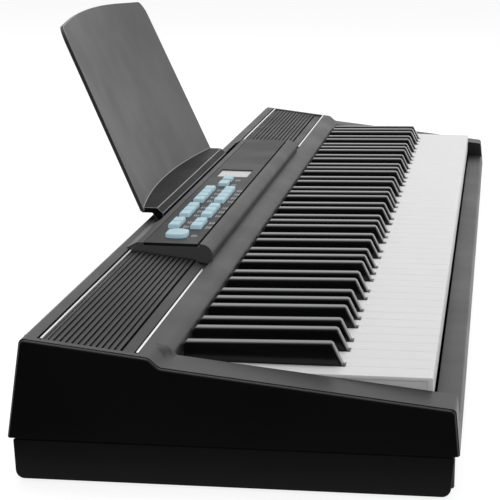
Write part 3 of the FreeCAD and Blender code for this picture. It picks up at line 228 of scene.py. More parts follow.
feet = solids_of("rubber_feet")
foot_low, foot_high = feet[0]
sizes = {"Radius": (foot_high.x - foot_low.x) / 2, "Height": foot_high.z - foot_low.z,
         "Rim": foot_rim, "Ring": foot_ring_thickness, "Rings": foot_rings}
tree, given = start_tree("ringed foot", sizes)
drop = maths(tree, "SUBTRACT", given["Height"], given["Ring"])
foot_sole = maths(tree, "SUBTRACT", given["Radius"], given["Rim"])
pad = add_node(tree, "GeometryNodeMeshCone",
               {"Vertices": 48, "Radius Bottom": foot_sole, "Radius Top": given["Radius"],
                "Depth": drop}, fill_type="NGON")
pad = add_node(tree, "GeometryNodeTransform",
               {"Geometry": pad.outputs["Mesh"], "Translation": vector_of(tree, 0, 0, given["Ring"])})
steps = add_node(tree, "GeometryNodeMeshLine", {"Count": given["Rings"], "Offset": (0, 0, 0)})
ring = add_node(tree, "GeometryNodeInputIndex", {}).outputs[0]
ring_share = maths(tree, "DIVIDE", maths(tree, "ADD", ring, foot_ring_start), given["Rings"])
ring_radius = maths(tree, "MULTIPLY", ring_share, given["Radius"])
path = add_node(tree, "GeometryNodeCurvePrimitiveCircle", {"Resolution": 40, "Radius": 1.0})
thread = add_node(tree, "GeometryNodeCurvePrimitiveCircle",
                  {"Resolution": 8, "Radius": given["Ring"]})
circles = add_node(tree, "GeometryNodeInstanceOnPoints",
                   {"Points": steps.outputs["Mesh"], "Instance": path.outputs["Curve"],
                    "Scale": vector_of(tree, ring_radius, ring_radius, 1)})
circles = add_node(tree, "GeometryNodeRealizeInstances", {"Geometry": circles.outputs["Instances"]})
rings = add_node(tree, "GeometryNodeCurveToMesh",
                 {"Curve": circles.outputs["Geometry"], "Profile Curve": thread.outputs["Curve"]})
rings = add_node(tree, "GeometryNodeTransform",
                 {"Geometry": rings.outputs["Mesh"],
                  "Translation": vector_of(tree, 0, 0, given["Ring"])})
foot = joined(tree, pad.outputs["Geometry"], rings.outputs["Geometry"])
foot_rubber = moulded_plastic("foot_rubber", (0.012, 0.012, 0.012), 0.75, 0.0008, 0.2, 0.4)
end_tree(tree, on_places(tree, given["Places"], foot), foot_rubber)
ringed_feet = repeated_piece("ringed_feet", tree, sizes, middles_of(feet))
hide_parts("rubber_feet")

# Lower case
#
# Open tray moulded in nearly black plastic with a fine grain. The upper case stands on its
# rebated rim, and screws from below hold the two together.

tray_edge = 0.0006
flat_within = math.radians(0.3)
sharp_beyond = math.radians(35)


def eased_copy(node, edge, material, pierced=False):
    """Piece with a node's own shape, its sharp edges eased as a mould leaves them."""
    shape = bmesh.new()
    shape.from_mesh(frame["nodes"][node].data)
    bmesh.ops.remove_doubles(shape, verts=shape.verts, dist=merge_reach)
    if not pierced:
        bmesh.ops.dissolve_limit(shape, angle_limit=flat_within, verts=shape.verts,
                                 edges=shape.edges)
    for face in shape.faces:
        face.smooth = True
    mesh = bpy.data.meshes.new(node + "_eased")
    shape.to_mesh(mesh)
    shape.free()
    mesh.materials.append(material)
    piece = add_to_scene(node + "_eased", mesh)
    easing = piece.modifiers.new("easing", "BEVEL")
    easing.width = edge
    easing.segments = 2
    easing.limit_method = "ANGLE"
    easing.angle_limit = sharp_beyond
    easing.use_clamp_overlap = False
    easing.miter_outer = "MITER_ARC"
    flat = piece.modifiers.new("flat faces stay flat", "WEIGHTED_NORMAL")
    flat.keep_sharp = True
    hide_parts(node)
    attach(piece, frame["nodes"][node]["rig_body"])
    return piece


tray_plastic = moulded_plastic("tray_plastic", (0.004, 0.004, 0.0043), 0.45, 0.0006, 0.12)
eased_copy("lower_case", tray_edge, tray_plastic)

# Case screws
#
# Pan head screws of blackened steel, pressed with a cross recess. They are driven from below
# through the tray into the bosses of the upper case.

screw_head_height = 0.0024
screw_shank_radius = 0.0016
recess_width = 0.0011
recess_length = 0.0042
recess_depth = 0.0012


def blackened_steel(name):
    """Steel with an uneven black oxide, and bare where the driver has rubbed."""
    material, tree, shader, where = new_material(name)
    patches = add_node(tree, "ShaderNodeTexNoise", {"Vector": where, "Scale": 900.0, "Detail": 3.0})
    colour = add_node(tree, "ShaderNodeMixRGB",
                      {"Fac": patches.outputs["Fac"], "Color1": (0.03, 0.03, 0.032, 1),
                       "Color2": (0.22, 0.22, 0.22, 1)})
    shine = add_node(tree, "ShaderNodeMapRange",
                     {"Value": patches.outputs["Fac"], "To Min": 0.5, "To Max": 0.3})
    bumps = add_node(tree, "ShaderNodeBump",
                     {"Height": patches.outputs["Fac"], "Strength": 0.3, "Distance": 0.00005})
    shader.inputs["Metallic"].default_value = 1
    coat(tree, shader, colour, shine, bumps)
    return material


screws = solids_of("case_screws")
screw_low, screw_high = screws[0]
sizes = {"Head radius": (screw_high.x - screw_low.x) / 2, "Head height": screw_head_height,
         "Shank radius": screw_shank_radius, "Length": screw_high.z - screw_low.z,
         "Recess width": recess_width, "Recess length": recess_length,
         "Recess depth": recess_depth}
tree, given = start_tree("pan head screw", sizes)
dome = add_node(tree, "GeometryNodeMeshUVSphere", {"Segments": 32, "Rings": 12, "Radius": 1.0})
dome = add_node(tree, "GeometryNodeTransform",
                {"Geometry": dome.outputs["Mesh"],
                 "Translation": vector_of(tree, 0, 0, given["Head height"]),
                 "Scale": vector_of(tree, given["Head radius"], given["Head radius"],
                                    given["Head height"])})
depth = maths(tree, "MULTIPLY", given["Recess depth"], 2)
head = add_node(tree, "GeometryNodeMeshBoolean", {"Mesh 1": dome.outputs["Geometry"]},
                operation="DIFFERENCE")
for bar in ((given["Recess length"], given["Recess width"], depth),
            (given["Recess width"], given["Recess length"], depth)):
    driver = add_node(tree, "GeometryNodeMeshCube", {"Size": vector_of(tree, *bar)})
    tree.links.new(driver.outputs["Mesh"], head.inputs["Mesh 2"])
shank = add_node(tree, "GeometryNodeMeshCylinder",
                 {"Vertices": 20, "Radius": given["Shank radius"],
                  "Depth": maths(tree, "SUBTRACT", given["Length"], given["Head height"])})
rise = maths(tree, "DIVIDE", maths(tree, "ADD", given["Length"], given["Head height"]), 2)
shank = add_node(tree, "GeometryNodeTransform",
                 {"Geometry": shank.outputs["Mesh"], "Translation": vector_of(tree, 0, 0, rise)})
screw = joined(tree, head.outputs["Mesh"], shank.outputs["Geometry"])
end_tree(tree, on_places(tree, given["Places"], screw), blackened_steel("blackened_steel"))
pan_head_screws = repeated_piece("pan_head_screws", tree, sizes, middles_of(screws))
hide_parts("case_screws")

# Main board and jack board
#
# Glass fibre boards with green solder resist over copper tracks. The main board stands on
# posts of the tray, and the jack board hangs behind the rear panel.


def circuit_board(name):
    """Solder resist that is lighter where copper tracks run under it."""
    material, tree, shader, where = new_material(name)
    cells = add_node(tree, "ShaderNodeTexVoronoi", {"Vector": where, "Scale": 260.0},
                     feature="DISTANCE_TO_EDGE")
    track = add_node(tree, "ShaderNodeMapRange",
                     {"Value": cells.outputs["Distance"], "From Min": 0.06, "From Max": 0.1})
    colour = add_node(tree, "ShaderNodeMixRGB",
                      {"Fac": track.outputs["Result"], "Color1": (0.03, 0.2, 0.06, 1),
                       "Color2": (0.006, 0.07, 0.022, 1)})
    cloth = add_node(tree, "ShaderNodeTexNoise", {"Vector": where, "Scale": 1500.0})
    shine = add_node(tree, "ShaderNodeMapRange",
                     {"Value": cloth.outputs["Fac"], "To Min": 0.25, "To Max": 0.45})
    bumps = add_node(tree, "ShaderNodeBump",
                     {"Height": track.outputs["Result"], "Strength": 0.4, "Distance": 0.00004})
    coat(tree, shader, colour, shine, bumps)
    return material


def finish_node(node, material):
    """Give a node that keeps its own shape its material."""
    slots = frame["nodes"][node].data.materials
    slots.clear()
    slots.append(material)


solder_resist = circuit_board("solder_resist")
finish_node("main_board", solder_resist)
finish_node("jack_board", solder_resist)

# Phone jacks and power inlet
#
# Black moulded sockets soldered to the jack board. Their noses stand in the holes of the
# rear panel: two for wide phone plugs and one with a centre pin for the supply.

socket_edge = 0.0003
socket_plastic = moulded_plastic("socket_plastic", (0.01, 0.01, 0.011), 0.32, 0.0005, 0.4)
eased_copy("phone_jacks", socket_edge, socket_plastic, pierced=True)
eased_copy("power_inlet", socket_edge, socket_plastic, pierced=True)

# Key frame
#
# Long bent pan of zinc coated sheet steel that carries every key. It is screwed to the ribs
# of the tray and shows only down the gaps between the keys.


def zinc_sheet(name):
    """Zinc coat with the crystal patches of its own that each catch the light apart."""
    material, tree, shader, where = new_material(name)
    crystals = add_node(tree, "ShaderNodeTexVoronoi", {"Vector": where, "Scale": 140.0})
    colour = add_node(tree, "ShaderNodeMixRGB",
                      {"Fac": crystals.outputs["Color"], "Color1": (0.28, 0.29, 0.3, 1),
                       "Color2": (0.42, 0.43, 0.44, 1)})
    shine = add_node(tree, "ShaderNodeMapRange",
                     {"Value": crystals.outputs["Color"], "To Min": 0.35, "To Max": 0.55})
    shader.inputs["Metallic"].default_value = 1
    coat(tree, shader, colour, shine)
    return material


finish_node("key_frame", zinc_sheet("zinc_sheet"))

# Felts
#
# Two strips of pressed red felt glued to the metalwork: the keys land on one at the front
# and rest under the other at the rear. Their cut edges are soft and slightly uneven.

felt_rounding = 0.0006
felt_unevenness = 0.00012
felt_cuts = 300
felt_waves = 180


def pressed_felt(name):
    """Short matted wool: mottled red, dull, with a soft bloom at its edges."""
    material, tree, shader, where = new_material(name)
    fibres = add_node(tree, "ShaderNodeTexNoise",
                      {"Vector": where, "Scale": 2200.0, "Detail": 6.0, "Distortion": 1.5})
    colour = add_node(tree, "ShaderNodeMixRGB",
                      {"Fac": fibres.outputs["Fac"], "Color1": (0.16, 0.01, 0.012, 1),
                       "Color2": (0.42, 0.04, 0.045, 1)})
    bumps = add_node(tree, "ShaderNodeBump",
                     {"Height": fibres.outputs["Fac"], "Strength": 0.8, "Distance": 0.0003})
    shader.inputs["Roughness"].default_value = 0.95
    shader.inputs["Sheen Weight"].default_value = 0.3
    coat(tree, shader, colour, relief=bumps)
    return material


def long_edges(shape, length):
    """Edges of a strip that run along it for most of its length."""
    return [edge for edge in shape.edges
            if abs(edge.verts[0].co.x - edge.verts[1].co.x) > length / 2]


def felt_strip(node, material):
    """Strip in the place of a node, with soft corners and a slightly uneven surface."""
    low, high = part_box(node)
    middle = (low + high) / 2
    size = high - low
    shape = bmesh.new()
    bmesh.ops.create_cube(shape, size=1)
    for vert in shape.verts:
        vert.co = Vector([vert.co[axis] * (size[axis] - 2 * felt_unevenness) for axis in range(3)])
        vert.co += middle
    bmesh.ops.bevel(shape, geom=long_edges(shape, size.x), offset=felt_rounding, segments=3,
                    profile=0.5, affect="EDGES")
    bmesh.ops.subdivide_edges(shape, edges=long_edges(shape, size.x), cuts=felt_cuts,
                              use_grid_fill=True)
    for vert in shape.verts:
        vert.co += noise.noise_vector(vert.co * felt_waves) * felt_unevenness
        vert.co = Vector([min(max(vert.co[axis], low[axis]), high[axis]) for axis in range(3)])
    for face in shape.faces:
        face.smooth = True
    mesh = bpy.data.meshes.new(node + "_strip")
    shape.to_mesh(mesh)
    shape.free()
    mesh.materials.append(material)
    piece = add_to_scene(node + "_strip", mesh)
    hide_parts(node)
    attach(piece, "case")


felt = pressed_felt("pressed_felt")
felt_strip("press_felt", felt)
felt_strip("rest_felt", felt)

# Key contact board
#
# Green board that lies on the key frame under the keys, with a carbon contact pad for each
# one. It has the same solder resist as the main board.

finish_node("key_contact_board", solder_resist)

# White keys
#
# Hollow keys moulded in off-white plastic, smooth on top with a faint satin bloom. Each one
# hangs on the ridge of the key frame, and their top edges are only just eased.

white_key_edge = 0.0003


def white_plastic(name):
    """Off-white plastic that lets light in a little way, with faint flow marks along keys."""
    material, tree, shader, where = new_material(name)
    stretched = add_node(tree, "ShaderNodeMapping", {"Vector": where, "Scale": (300, 18, 60)})
    flow = add_node(tree, "ShaderNodeTexNoise",
                    {"Vector": stretched.outputs["Vector"], "Scale": 1.0, "Detail": 3.0})
    colour = add_node(tree, "ShaderNodeMixRGB",
                      {"Fac": flow.outputs["Fac"], "Color1": (0.66, 0.66, 0.66, 1),
                       "Color2": (0.73, 0.73, 0.73, 1)})
    shine = add_node(tree, "ShaderNodeMapRange",
                     {"Value": flow.outputs["Fac"], "To Min": 0.34, "To Max": 0.46})
    bumps = add_node(tree, "ShaderNodeBump",
                     {"Height": flow.outputs["Fac"], "Strength": 0.08, "Distance": 0.0001})
    shader.inputs["Specular IOR Level"].default_value = 0.2
    shader.inputs["Subsurface Weight"].default_value = 0.5
    shader.inputs["Subsurface Radius"].default_value = (1, 1, 1)
    shader.inputs["Subsurface Scale"].default_value = 0.003
    coat(tree, shader, colour, shine, bumps)
    return material


white_key_plastic = white_plastic("white_key_plastic")
for node in frame["nodes"]:
    if node.startswith("white_key"):
        eased_copy(node, white_key_edge, white_key_plastic)

# Black keys
#
# Narrow keys moulded in black plastic and polished, with a sloping front and well rounded
# top edges. They hang on the same ridge as the white keys.

black_key_shoulder = 0.0016
black_key_edge = 0.0003
black_key_chamfer = 0.0013
black_key_top_reach = 0.004
level_normal = 0.95
rising_normal = 0.3


def round_shoulders(piece, width):
    """Square up the chamfered top of each key, then round it well over."""
    shape = bmesh.new()
    shape.from_mesh(piece.data)
    crown_foot = max(vert.co.z for vert in shape.verts) - black_key_top_reach
    crown = {vert for face in shape.faces for vert in face.verts
             if face.normal.z > level_normal and vert.co.z > crown_foot}
    for vert in crown:
        beside = [edge.other_vert(vert) for edge in vert.link_edges
                  if edge.other_vert(vert) not in crown and edge.calc_length() < black_key_chamfer]
        for other in beside:
            corner = Vector((other.co.x, vert.co.y, vert.co.z))
            vert.co = corner
            other.co = corner
    bmesh.ops.remove_doubles(shape, verts=shape.verts, dist=merge_reach)
    shape.normal_update()
    shoulders = [edge for edge in shape.edges
                 if edge.is_manifold and edge.calc_face_angle() > sharp_beyond
                 and max(vert.co.z for vert in edge.verts) > crown_foot
                 and any(face.normal.z > rising_normal for face in edge.link_faces)]
    bmesh.ops.bevel(shape, geom=shoulders, offset=width, segments=5, profile=0.5,
                    affect="EDGES", clamp_overlap=True)
    for face in shape.faces:
        face.smooth = True
    shape.to_mesh(piece.data)
    shape.free()


black_key_plastic = moulded_plastic("black_key_plastic", (0.003, 0.003, 0.003), 0.14, 0.0015, 0.3,
                                    0.05)
for node in frame["nodes"]:
    if node.startswith("black_key"):
        piece = eased_copy(node, black_key_edge, black_key_plastic)
        round_shoulders(piece, black_key_shoulder)

# Hold-down comb
#
# Comb of bright spring steel screwed behind the keys. One finger presses each key's tail down
# and so lifts its front.


def spring_steel_sheet(name):
    """Rolled steel with fine lines along the sheet."""
    material, tree, shader, where = new_material(name)
    stretched = add_node(tree, "ShaderNodeMapping", {"Vector": where, "Scale": (20, 4000, 4000)})
    lines = add_node(tree, "ShaderNodeTexNoise",
                     {"Vector": stretched.outputs["Vector"], "Scale": 1.0, "Detail": 2.0})
    colour = add_node(tree, "ShaderNodeMixRGB",
                      {"Fac": lines.outputs["Fac"], "Color1": (0.42, 0.42, 0.43, 1),
                       "Color2": (0.6, 0.6, 0.6, 1)})
    shine = add_node(tree, "ShaderNodeMapRange",
                     {"Value": lines.outputs["Fac"], "To Min": 0.22, "To Max": 0.38})
    shader.inputs["Metallic"].default_value = 1
    coat(tree, shader, colour, shine)
    return material


finish_node("hold_down_comb", spring_steel_sheet("spring_steel_sheet"))

# Upper case
#
# One nearly black moulding: end cheeks, low front rail, sloping deck and the raised block for
# the controls, with a lip that rolls down behind the keys and dies into the cheeks in soft
# ramps. Painted shade makes its outer ends and the walls of its grooves darkest, and painted
# light makes the block's end walls palest.

case_edge = 0.00025
groove_reach = 0.003
facing_front = -0.7
facing_sideways = 0.9
painted_shade_slot = 1
painted_light_slot = 2
lip_front = -0.0006
beside_lip_end = 0.0024
lip_blend_length = 0.014
lip_blend_reach = 0.016
lip_blend_steps = 14
lip_blend_sink = 0.00003

case_plastic = moulded_plastic("case_plastic", (0.016, 0.016, 0.017), 0.4, 0.0006, 0.14)
# Painted shade: a near-black finish for the case's outer end faces and the walls of its grooves.
painted_shade_plastic = moulded_plastic("painted_shade_plastic", (0.0022, 0.0022, 0.0024), 0.5, 0.0006, 0.09)
# Painted light: a paler finish for the end walls of the raised block.
painted_light_plastic = moulded_plastic("painted_light_plastic", (0.07, 0.07, 0.07), 0.5, 0.0006, 0.14)
upper_case = eased_copy("upper_case", case_edge, case_plastic)
upper_case.data.materials.append(painted_shade_plastic)
upper_case.data.materials.append(painted_light_plastic)
case_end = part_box("upper_case")[1].x - case_edge
trim_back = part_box("left_grille_trims")[1].y
deck_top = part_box("left_grille")[1].z
# The outer ends and the groove walls behind the trims take the painted shade, and the block's end
# walls take the painted light.
for face in upper_case.data.polygons:
    behind_trim = face.center.y - trim_back
    in_groove = 0 < behind_trim < groove_reach and face.normal.y < facing_front
    if abs(face.center.x) > case_end or in_groove:
        face.material_index = painted_shade_slot
    elif abs(face.normal.x) > facing_sideways and face.center.z > deck_top - groove_reach:
        face.material_index = painted_light_slot

case_mesh = frame["nodes"]["upper_case"].data
case_shape = BVHTree.FromPolygons([vert.co for vert in case_mesh.vertices],
                                  [face.vertices for face in case_mesh.polygons])


def height_of_case(x, y):
    """Height of the upper case's top surface, or 0 beside it."""
    place = case_shape.ray_cast(Vector((x, y, 1)), Vector((0, 0, -1)))[0]
    return place.z if place else 0


def blend_lip_end(name, end, outward):
    """Soft ramp that takes the end of the rolled lip down onto the cheek beside it."""
    places = []
    for row in range(lip_blend_steps + 1):
        y = lip_front + lip_blend_reach * row / lip_blend_steps
        on_lip = height_of_case(end - outward * beside_lip_end, y)
        on_cheek = height_of_case(end + outward * beside_lip_end, y)
        for column in range(lip_blend_steps + 1):
            share = column / lip_blend_steps
            x = end + outward * lip_blend_length * share
            ease = 1 - share * share * (3 - 2 * share)
            rise = max(on_lip - on_cheek, 0) * ease
            places.append((x, y, on_cheek + rise + lip_blend_sink * (2 * ease - 1)))
    width = lip_blend_steps + 1
    faces = []
    for row in range(lip_blend_steps):
        for column in range(lip_blend_steps):
            corner = row * width + column
            face = (corner, corner + 1, corner + width + 1, corner + width)
            faces.append(face if outward > 0 else face[::-1])
    mesh = bpy.data.meshes.new(name)
    mesh.from_pydata(places, [], faces)
    mesh.shade_smooth()
    mesh.materials.append(case_plastic)
    ramp = add_to_scene(name, mesh)
    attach(ramp, "case")


blend_lip_end("lip_end_left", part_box("white_keys_octave_0")[0].x + case_edge, -1)
blend_lip_end("lip_end_right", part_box("white_keys_octave_7")[1].x - case_edge, 1)

# Speakers
#
# Oval speakers with a black pressed basket and a treated paper cone, screwed under the sloping
# beds of the upper case, so they show only through the slots of the grilles.

speaker_black = moulded_plastic("speaker_black", (0.014, 0.014, 0.014), 0.7, 0.0012, 0.3, 0.5)
for side in ("left", "right"):
    finish_node(f"{side}_speaker", speaker_black)

# Speaker grilles
#
# Slotted plates of satin dark plastic let into the deck over the speakers. Between the slots
# stand crowned ribs that run the length of the plate. Its front wall faces a groove and gets
# painted shade: a dull, darker finish.

plate_edge = 0.00015
rib_count = 12
rib_pitch = 0.00344
rib_width = 0.00226
rib_crown = 0.0004
rib_sink = 0.0006
rib_front_round = 0.0012
rib_back_round = 0.00012
first_slot = 0.0066
slot_width = 0.0012
end_band = 0.002
deck_rise_over_depth = 0.1127
deck_slope = math.atan(deck_rise_over_depth)
front_corner = 3

sizes = {"Length": 1.0, "Width": rib_width, "Crown": rib_crown, "Sink": rib_sink,
         "Front round": rib_front_round, "Back round": rib_back_round,
         "Pitch": rib_pitch / math.cos(deck_slope), "Slope": deck_slope, "Count": rib_count}
tree, given = start_tree("grille ribs", sizes)
half_length = maths(tree, "DIVIDE", given["Length"], 2)
left_end = maths(tree, "MULTIPLY", half_length, -1)
half_width = maths(tree, "DIVIDE", given["Width"], 2)
front = maths(tree, "MULTIPLY", half_width, -1)
rib_root = maths(tree, "MULTIPLY", given["Sink"], -1)
section = add_node(tree, "GeometryNodeCurvePrimitiveQuadrilateral",
                   {"Point 1": vector_of(tree, front, rib_root, 0),
                    "Point 2": vector_of(tree, half_width, rib_root, 0),
                    "Point 3": vector_of(tree, half_width, given["Crown"], 0),
                    "Point 4": vector_of(tree, front, 0, 0)}, mode="POINTS")
corner = add_node(tree, "GeometryNodeInputIndex", {}).outputs[0]
is_front = maths(tree, "COMPARE", corner, front_corner)
bend = add_node(tree, "ShaderNodeMix",
                {0: is_front, 2: given["Back round"], 3: given["Front round"]}, data_type="FLOAT")
section = add_node(tree, "GeometryNodeFilletCurve",
                   {"Curve": section.outputs["Curve"], "Radius": bend.outputs[0], "Count": 5},
                   mode="POLY")
line = add_node(tree, "GeometryNodeCurvePrimitiveLine",
                {"Start": vector_of(tree, left_end, 0, 0),
                 "End": vector_of(tree, half_length, 0, 0)})
rib = add_node(tree, "GeometryNodeCurveToMesh",
               {"Curve": line.outputs["Curve"], "Profile Curve": section.outputs["Curve"],
                "Fill Caps": True})
row = add_node(tree, "GeometryNodeMeshLine",
               {"Count": given["Count"], "Offset": vector_of(tree, 0, given["Pitch"], 0)})
ribs = add_node(tree, "GeometryNodeTransform",
                {"Geometry": on_places(tree, row.outputs["Mesh"], rib.outputs["Mesh"]),
                 "Rotation": vector_of(tree, given["Slope"], 0, 0)})
grille_plastic = moulded_plastic("grille_plastic", (0.0085, 0.0085, 0.0085), 0.42, 0.0006, 0.12)
end_tree(tree, on_places(tree, given["Places"], ribs.outputs["Geometry"]), grille_plastic)
for side in ("left", "right"):
    plate = eased_copy(f"{side}_grille", plate_edge, grille_plastic,
                       pierced=True)
    low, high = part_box(f"{side}_grille")
    plate.data.materials.append(painted_shade_plastic)
    # The front wall of each plate, down in its groove, takes the painted shade finish.
    for face in plate.data.polygons:
        if face.normal.y < facing_front and face.center.y < low.y + plate_edge:
            face.material_index = painted_shade_slot
    sizes["Length"] = high.x - low.x - 2 * end_band
    rib_y = low.y + first_slot + slot_width + (rib_pitch - slot_width) / 2
    rib_z = high.z - (high.y - rib_y) * math.tan(deck_slope)
    repeated_piece(f"{side}_grille_ribs", tree, sizes, [((low.x + high.x) / 2, rib_y, rib_z)])

# Grille trims
#
# Thin strips of polished metal pressed into the grooves before and behind each grille plate.
# They are drawn through a die, which leaves faint lines along them.


def polished_metal(name):
    """Bright drawn strip with faint lines along it."""
    material, tree, shader, where = new_material(name)
    stretched = add_node(tree, "ShaderNodeMapping", {"Vector": where, "Scale": (6, 3000, 3000)})
    lines = add_node(tree, "ShaderNodeTexNoise",
                     {"Vector": stretched.outputs["Vector"], "Scale": 1.0, "Detail": 2.0})
    colour = add_node(tree, "ShaderNodeMixRGB",
                      {"Fac": lines.outputs["Fac"], "Color1": (0.85, 0.85, 0.85, 1),
                       "Color2": (0.95, 0.95, 0.95, 1)})
    shine = add_node(tree, "ShaderNodeMapRange",
                     {"Value": lines.outputs["Fac"], "To Min": 0.12, "To Max": 0.24})
    shader.inputs["Metallic"].default_value = 1
    coat(tree, shader, colour, shine)
    return material


bright_trim = polished_metal("bright_trim")
for side in ("left", "right"):
    finish_node(f"{side}_grille_trims", bright_trim)

# Button board and display module
#
# Green board under the panel with a dome switch below each button, and the pale metal frame
# of the display beside it.


def painted_sheet(name):
    """Grey painted steel with a fine orange peel."""
    material, tree, shader, where = new_material(name)
    peel = add_node(tree, "ShaderNodeTexNoise", {"Vector": where, "Scale": 700.0, "Detail": 2.0})
    colour = add_node(tree, "ShaderNodeMixRGB",
                      {"Fac": peel.outputs["Fac"], "Color1": (0.24, 0.24, 0.24, 1),
                       "Color2": (0.32, 0.32, 0.32, 1)})
    bumps = add_node(tree, "ShaderNodeBump",
                     {"Height": peel.outputs["Fac"], "Strength": 0.3, "Distance": 0.0001})
    shader.inputs["Roughness"].default_value = 0.45
    coat(tree, shader, colour, relief=bumps)
    return material


finish_node("button_board", solder_resist)
finish_node("display_module", painted_sheet("display_metal"))

# Buttons
#
# Pale blue caps moulded in milky plastic on a common strip, two, three or four together, and
# one wide oval cap. They stand through holes in the panel on the dome switches.

button_edge = 0.0004
button_space = 0.0017
button_draft = 0.86
button_draft_depth = 0.0012


def milky_plastic(name):
    """Pale blue plastic that lets light in a little way, with a painted glow in its own colour."""
    material, tree, shader, where = new_material(name)
    clouds = add_node(tree, "ShaderNodeTexNoise", {"Vector": where, "Scale": 90.0, "Detail": 3.0})
    colour = add_node(tree, "ShaderNodeMixRGB",
                      {"Fac": clouds.outputs["Fac"], "Color1": (0.18, 0.27, 0.31, 1),
                       "Color2": (0.23, 0.33, 0.37, 1)})
    grain = add_node(tree, "ShaderNodeTexNoise", {"Vector": where, "Scale": 1800.0})
    bumps = add_node(tree, "ShaderNodeBump",
                     {"Height": grain.outputs["Fac"], "Strength": 0.15, "Distance": 0.0001})
    shine = add_node(tree, "ShaderNodeMapRange",
                     {"Value": clouds.outputs["Fac"], "To Min": 0.4, "To Max": 0.55})
    shader.inputs["Subsurface Weight"].default_value = 0.7
    shader.inputs["Subsurface Radius"].default_value = (1, 1, 1)
    shader.inputs["Subsurface Scale"].default_value = 0.006
    shader.inputs["Specular IOR Level"].default_value = 0.3
    # Painted glow: the caps give off light in their own colour, which brightens their sides.
    shader.inputs["Emission Strength"].default_value = 0.75
    tree.links.new(colour.outputs["Color"], shader.inputs["Emission Color"])
    coat(tree, shader, colour, shine, bumps)
    return material


def taper_caps(strip, count):
    """Draw in the top of each cap, so that a notch opens between neighbours."""
    crown_foot = max(vert.co.z for vert in strip.data.vertices) - button_draft_depth
    crown = [vert for vert in strip.data.vertices if vert.co.z > crown_foot]
    left = min(vert.co.x for vert in crown)
    right = max(vert.co.x for vert in crown)
    pitch = (right - left + button_space) / count
    first_middle = left + (pitch - button_space) / 2
    for vert in crown:
        middle = first_middle + round((vert.co.x - first_middle) / pitch) * pitch
        vert.co.x = middle + (vert.co.x - middle) * button_draft


button_plastic = milky_plastic("button_plastic")
caps = {"left": 2, "middle": 3, "right": 4}
for node in frame["nodes"]:
    if "button" in node and node != "button_board":
        strip = eased_copy(node, button_edge, button_plastic)
        if "buttons" in node:
            taper_caps(strip, caps[node.split("_")[-1]])

# Control panel
#
# Thin plate of satin dark grey plastic glued into the raised block, cut for the buttons and
# the display. Small pale marks are printed in front of the buttons.

panel_edge = 0.0002
mark_length = 0.01
mark_width = 0.0007
mark_lines = 3
mark_height = 0.00003
mark_gap = 0.0018
mark_line_gap = 0.0015
shortest_mark = 0.6
longest_mark = 1.1
mark_seed = 7

panel_plastic = moulded_plastic("panel_plastic", (0.0075, 0.0078, 0.0086), 0.45, 0.0005, 0.1)
eased_copy("control_panel", panel_edge, panel_plastic, pierced=True)

sizes = {"Mark length": mark_length, "Mark width": mark_width, "Mark height": mark_height,
         "Line gap": mark_line_gap, "Lines": mark_lines}
tree, given = start_tree("printed marks", sizes)
mark = add_node(tree, "GeometryNodeMeshCube",
                {"Size": vector_of(tree, given["Mark length"], given["Mark width"],
                                   given["Mark height"])})
line_step = maths(tree, "MULTIPLY", given["Line gap"], -1)
lines = add_node(tree, "GeometryNodeMeshLine",
                 {"Count": given["Lines"], "Offset": vector_of(tree, 0, line_step, 0)})
spots = add_node(tree, "GeometryNodeRealizeInstances",
                 {"Geometry": on_places(tree, given["Places"], lines.outputs["Mesh"])})
stretch = add_node(tree, "FunctionNodeRandomValue",
                   {"Min": shortest_mark, "Max": longest_mark, "Seed": mark_seed},
                   data_type="FLOAT")
length = next(socket for socket in stretch.outputs if socket.enabled)
marks = add_node(tree, "GeometryNodeInstanceOnPoints",
                 {"Points": spots.outputs["Geometry"], "Instance": mark.outputs["Mesh"],
                  "Scale": vector_of(tree, length, 1, 1)})
print_ink = moulded_plastic("print_ink", (0.42, 0.43, 0.44), 0.6, 0.0004, 0.2)
end_tree(tree, marks.outputs["Instances"], print_ink)
panel_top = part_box("control_panel")[1].z


def mark_places(node, count):
    """Place of the print in front of each cap of a strip of buttons."""
    low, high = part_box(node)
    pitch = (high.x - low.x) / count
    return [(low.x + (cap + 0.5) * pitch, low.y - mark_gap, panel_top) for cap in range(count)]


places = []
for row in ("rear", "front"):
    for side, count in caps.items():
        places += mark_places(f"{row}_buttons_{side}", count)
for node in ("display_button_left", "display_button_right", "oval_button"):
    places += mark_places(node, 1)
repeated_piece("printed_marks", tree, sizes, places)

# Display window
#
# Clear cover over a pale reflective display, set flush in the panel. The display is blank, and
# only the faint grid of its cells shows.


def pale_display(name):
    """Grey-green display with its faint grid of cells, under a glossy cover."""
    material, tree, shader, where = new_material(name)
    grid = add_node(tree, "ShaderNodeTexBrick",
                    {"Vector": where, "Scale": 1.0, "Mortar Size": 0.00008, "Brick Width": 0.0007,
                     "Row Height": 0.0007, "Color1": (0.36, 0.37, 0.36, 1),
                     "Color2": (0.39, 0.4, 0.39, 1), "Mortar": (0.33, 0.34, 0.33, 1)},
                    offset=0.0)
    haze = add_node(tree, "ShaderNodeTexNoise", {"Vector": where, "Scale": 60.0})
    shine = add_node(tree, "ShaderNodeMapRange",
                     {"Value": haze.outputs["Fac"], "To Min": 0.1, "To Max": 0.2})
    coat(tree, shader, grid, shine)
    return material


finish_node("display_window", pale_display("pale_display"))

# Music rest
#
# Bowed sheet of satin dark grey plastic with a darker ledge along its foot, whose dark finish
# also paints the shade on the tongue and front face down in the slot, and a painted highlight
# on its eased edges. The tongue under the ledge drops into the long slot of the upper case,
# and the rest lifts out by hand.

rest_edge = 0.0004
ledge_top = 0.0042
ledge_height = 0.03
facing_up = 0.6
ledge_and_shade_slot = 1
painted_highlight_slot = 2
rest_plastic = moulded_plastic("rest_plastic", (0.022, 0.022, 0.022), 0.45, 0.0006, 0.3)
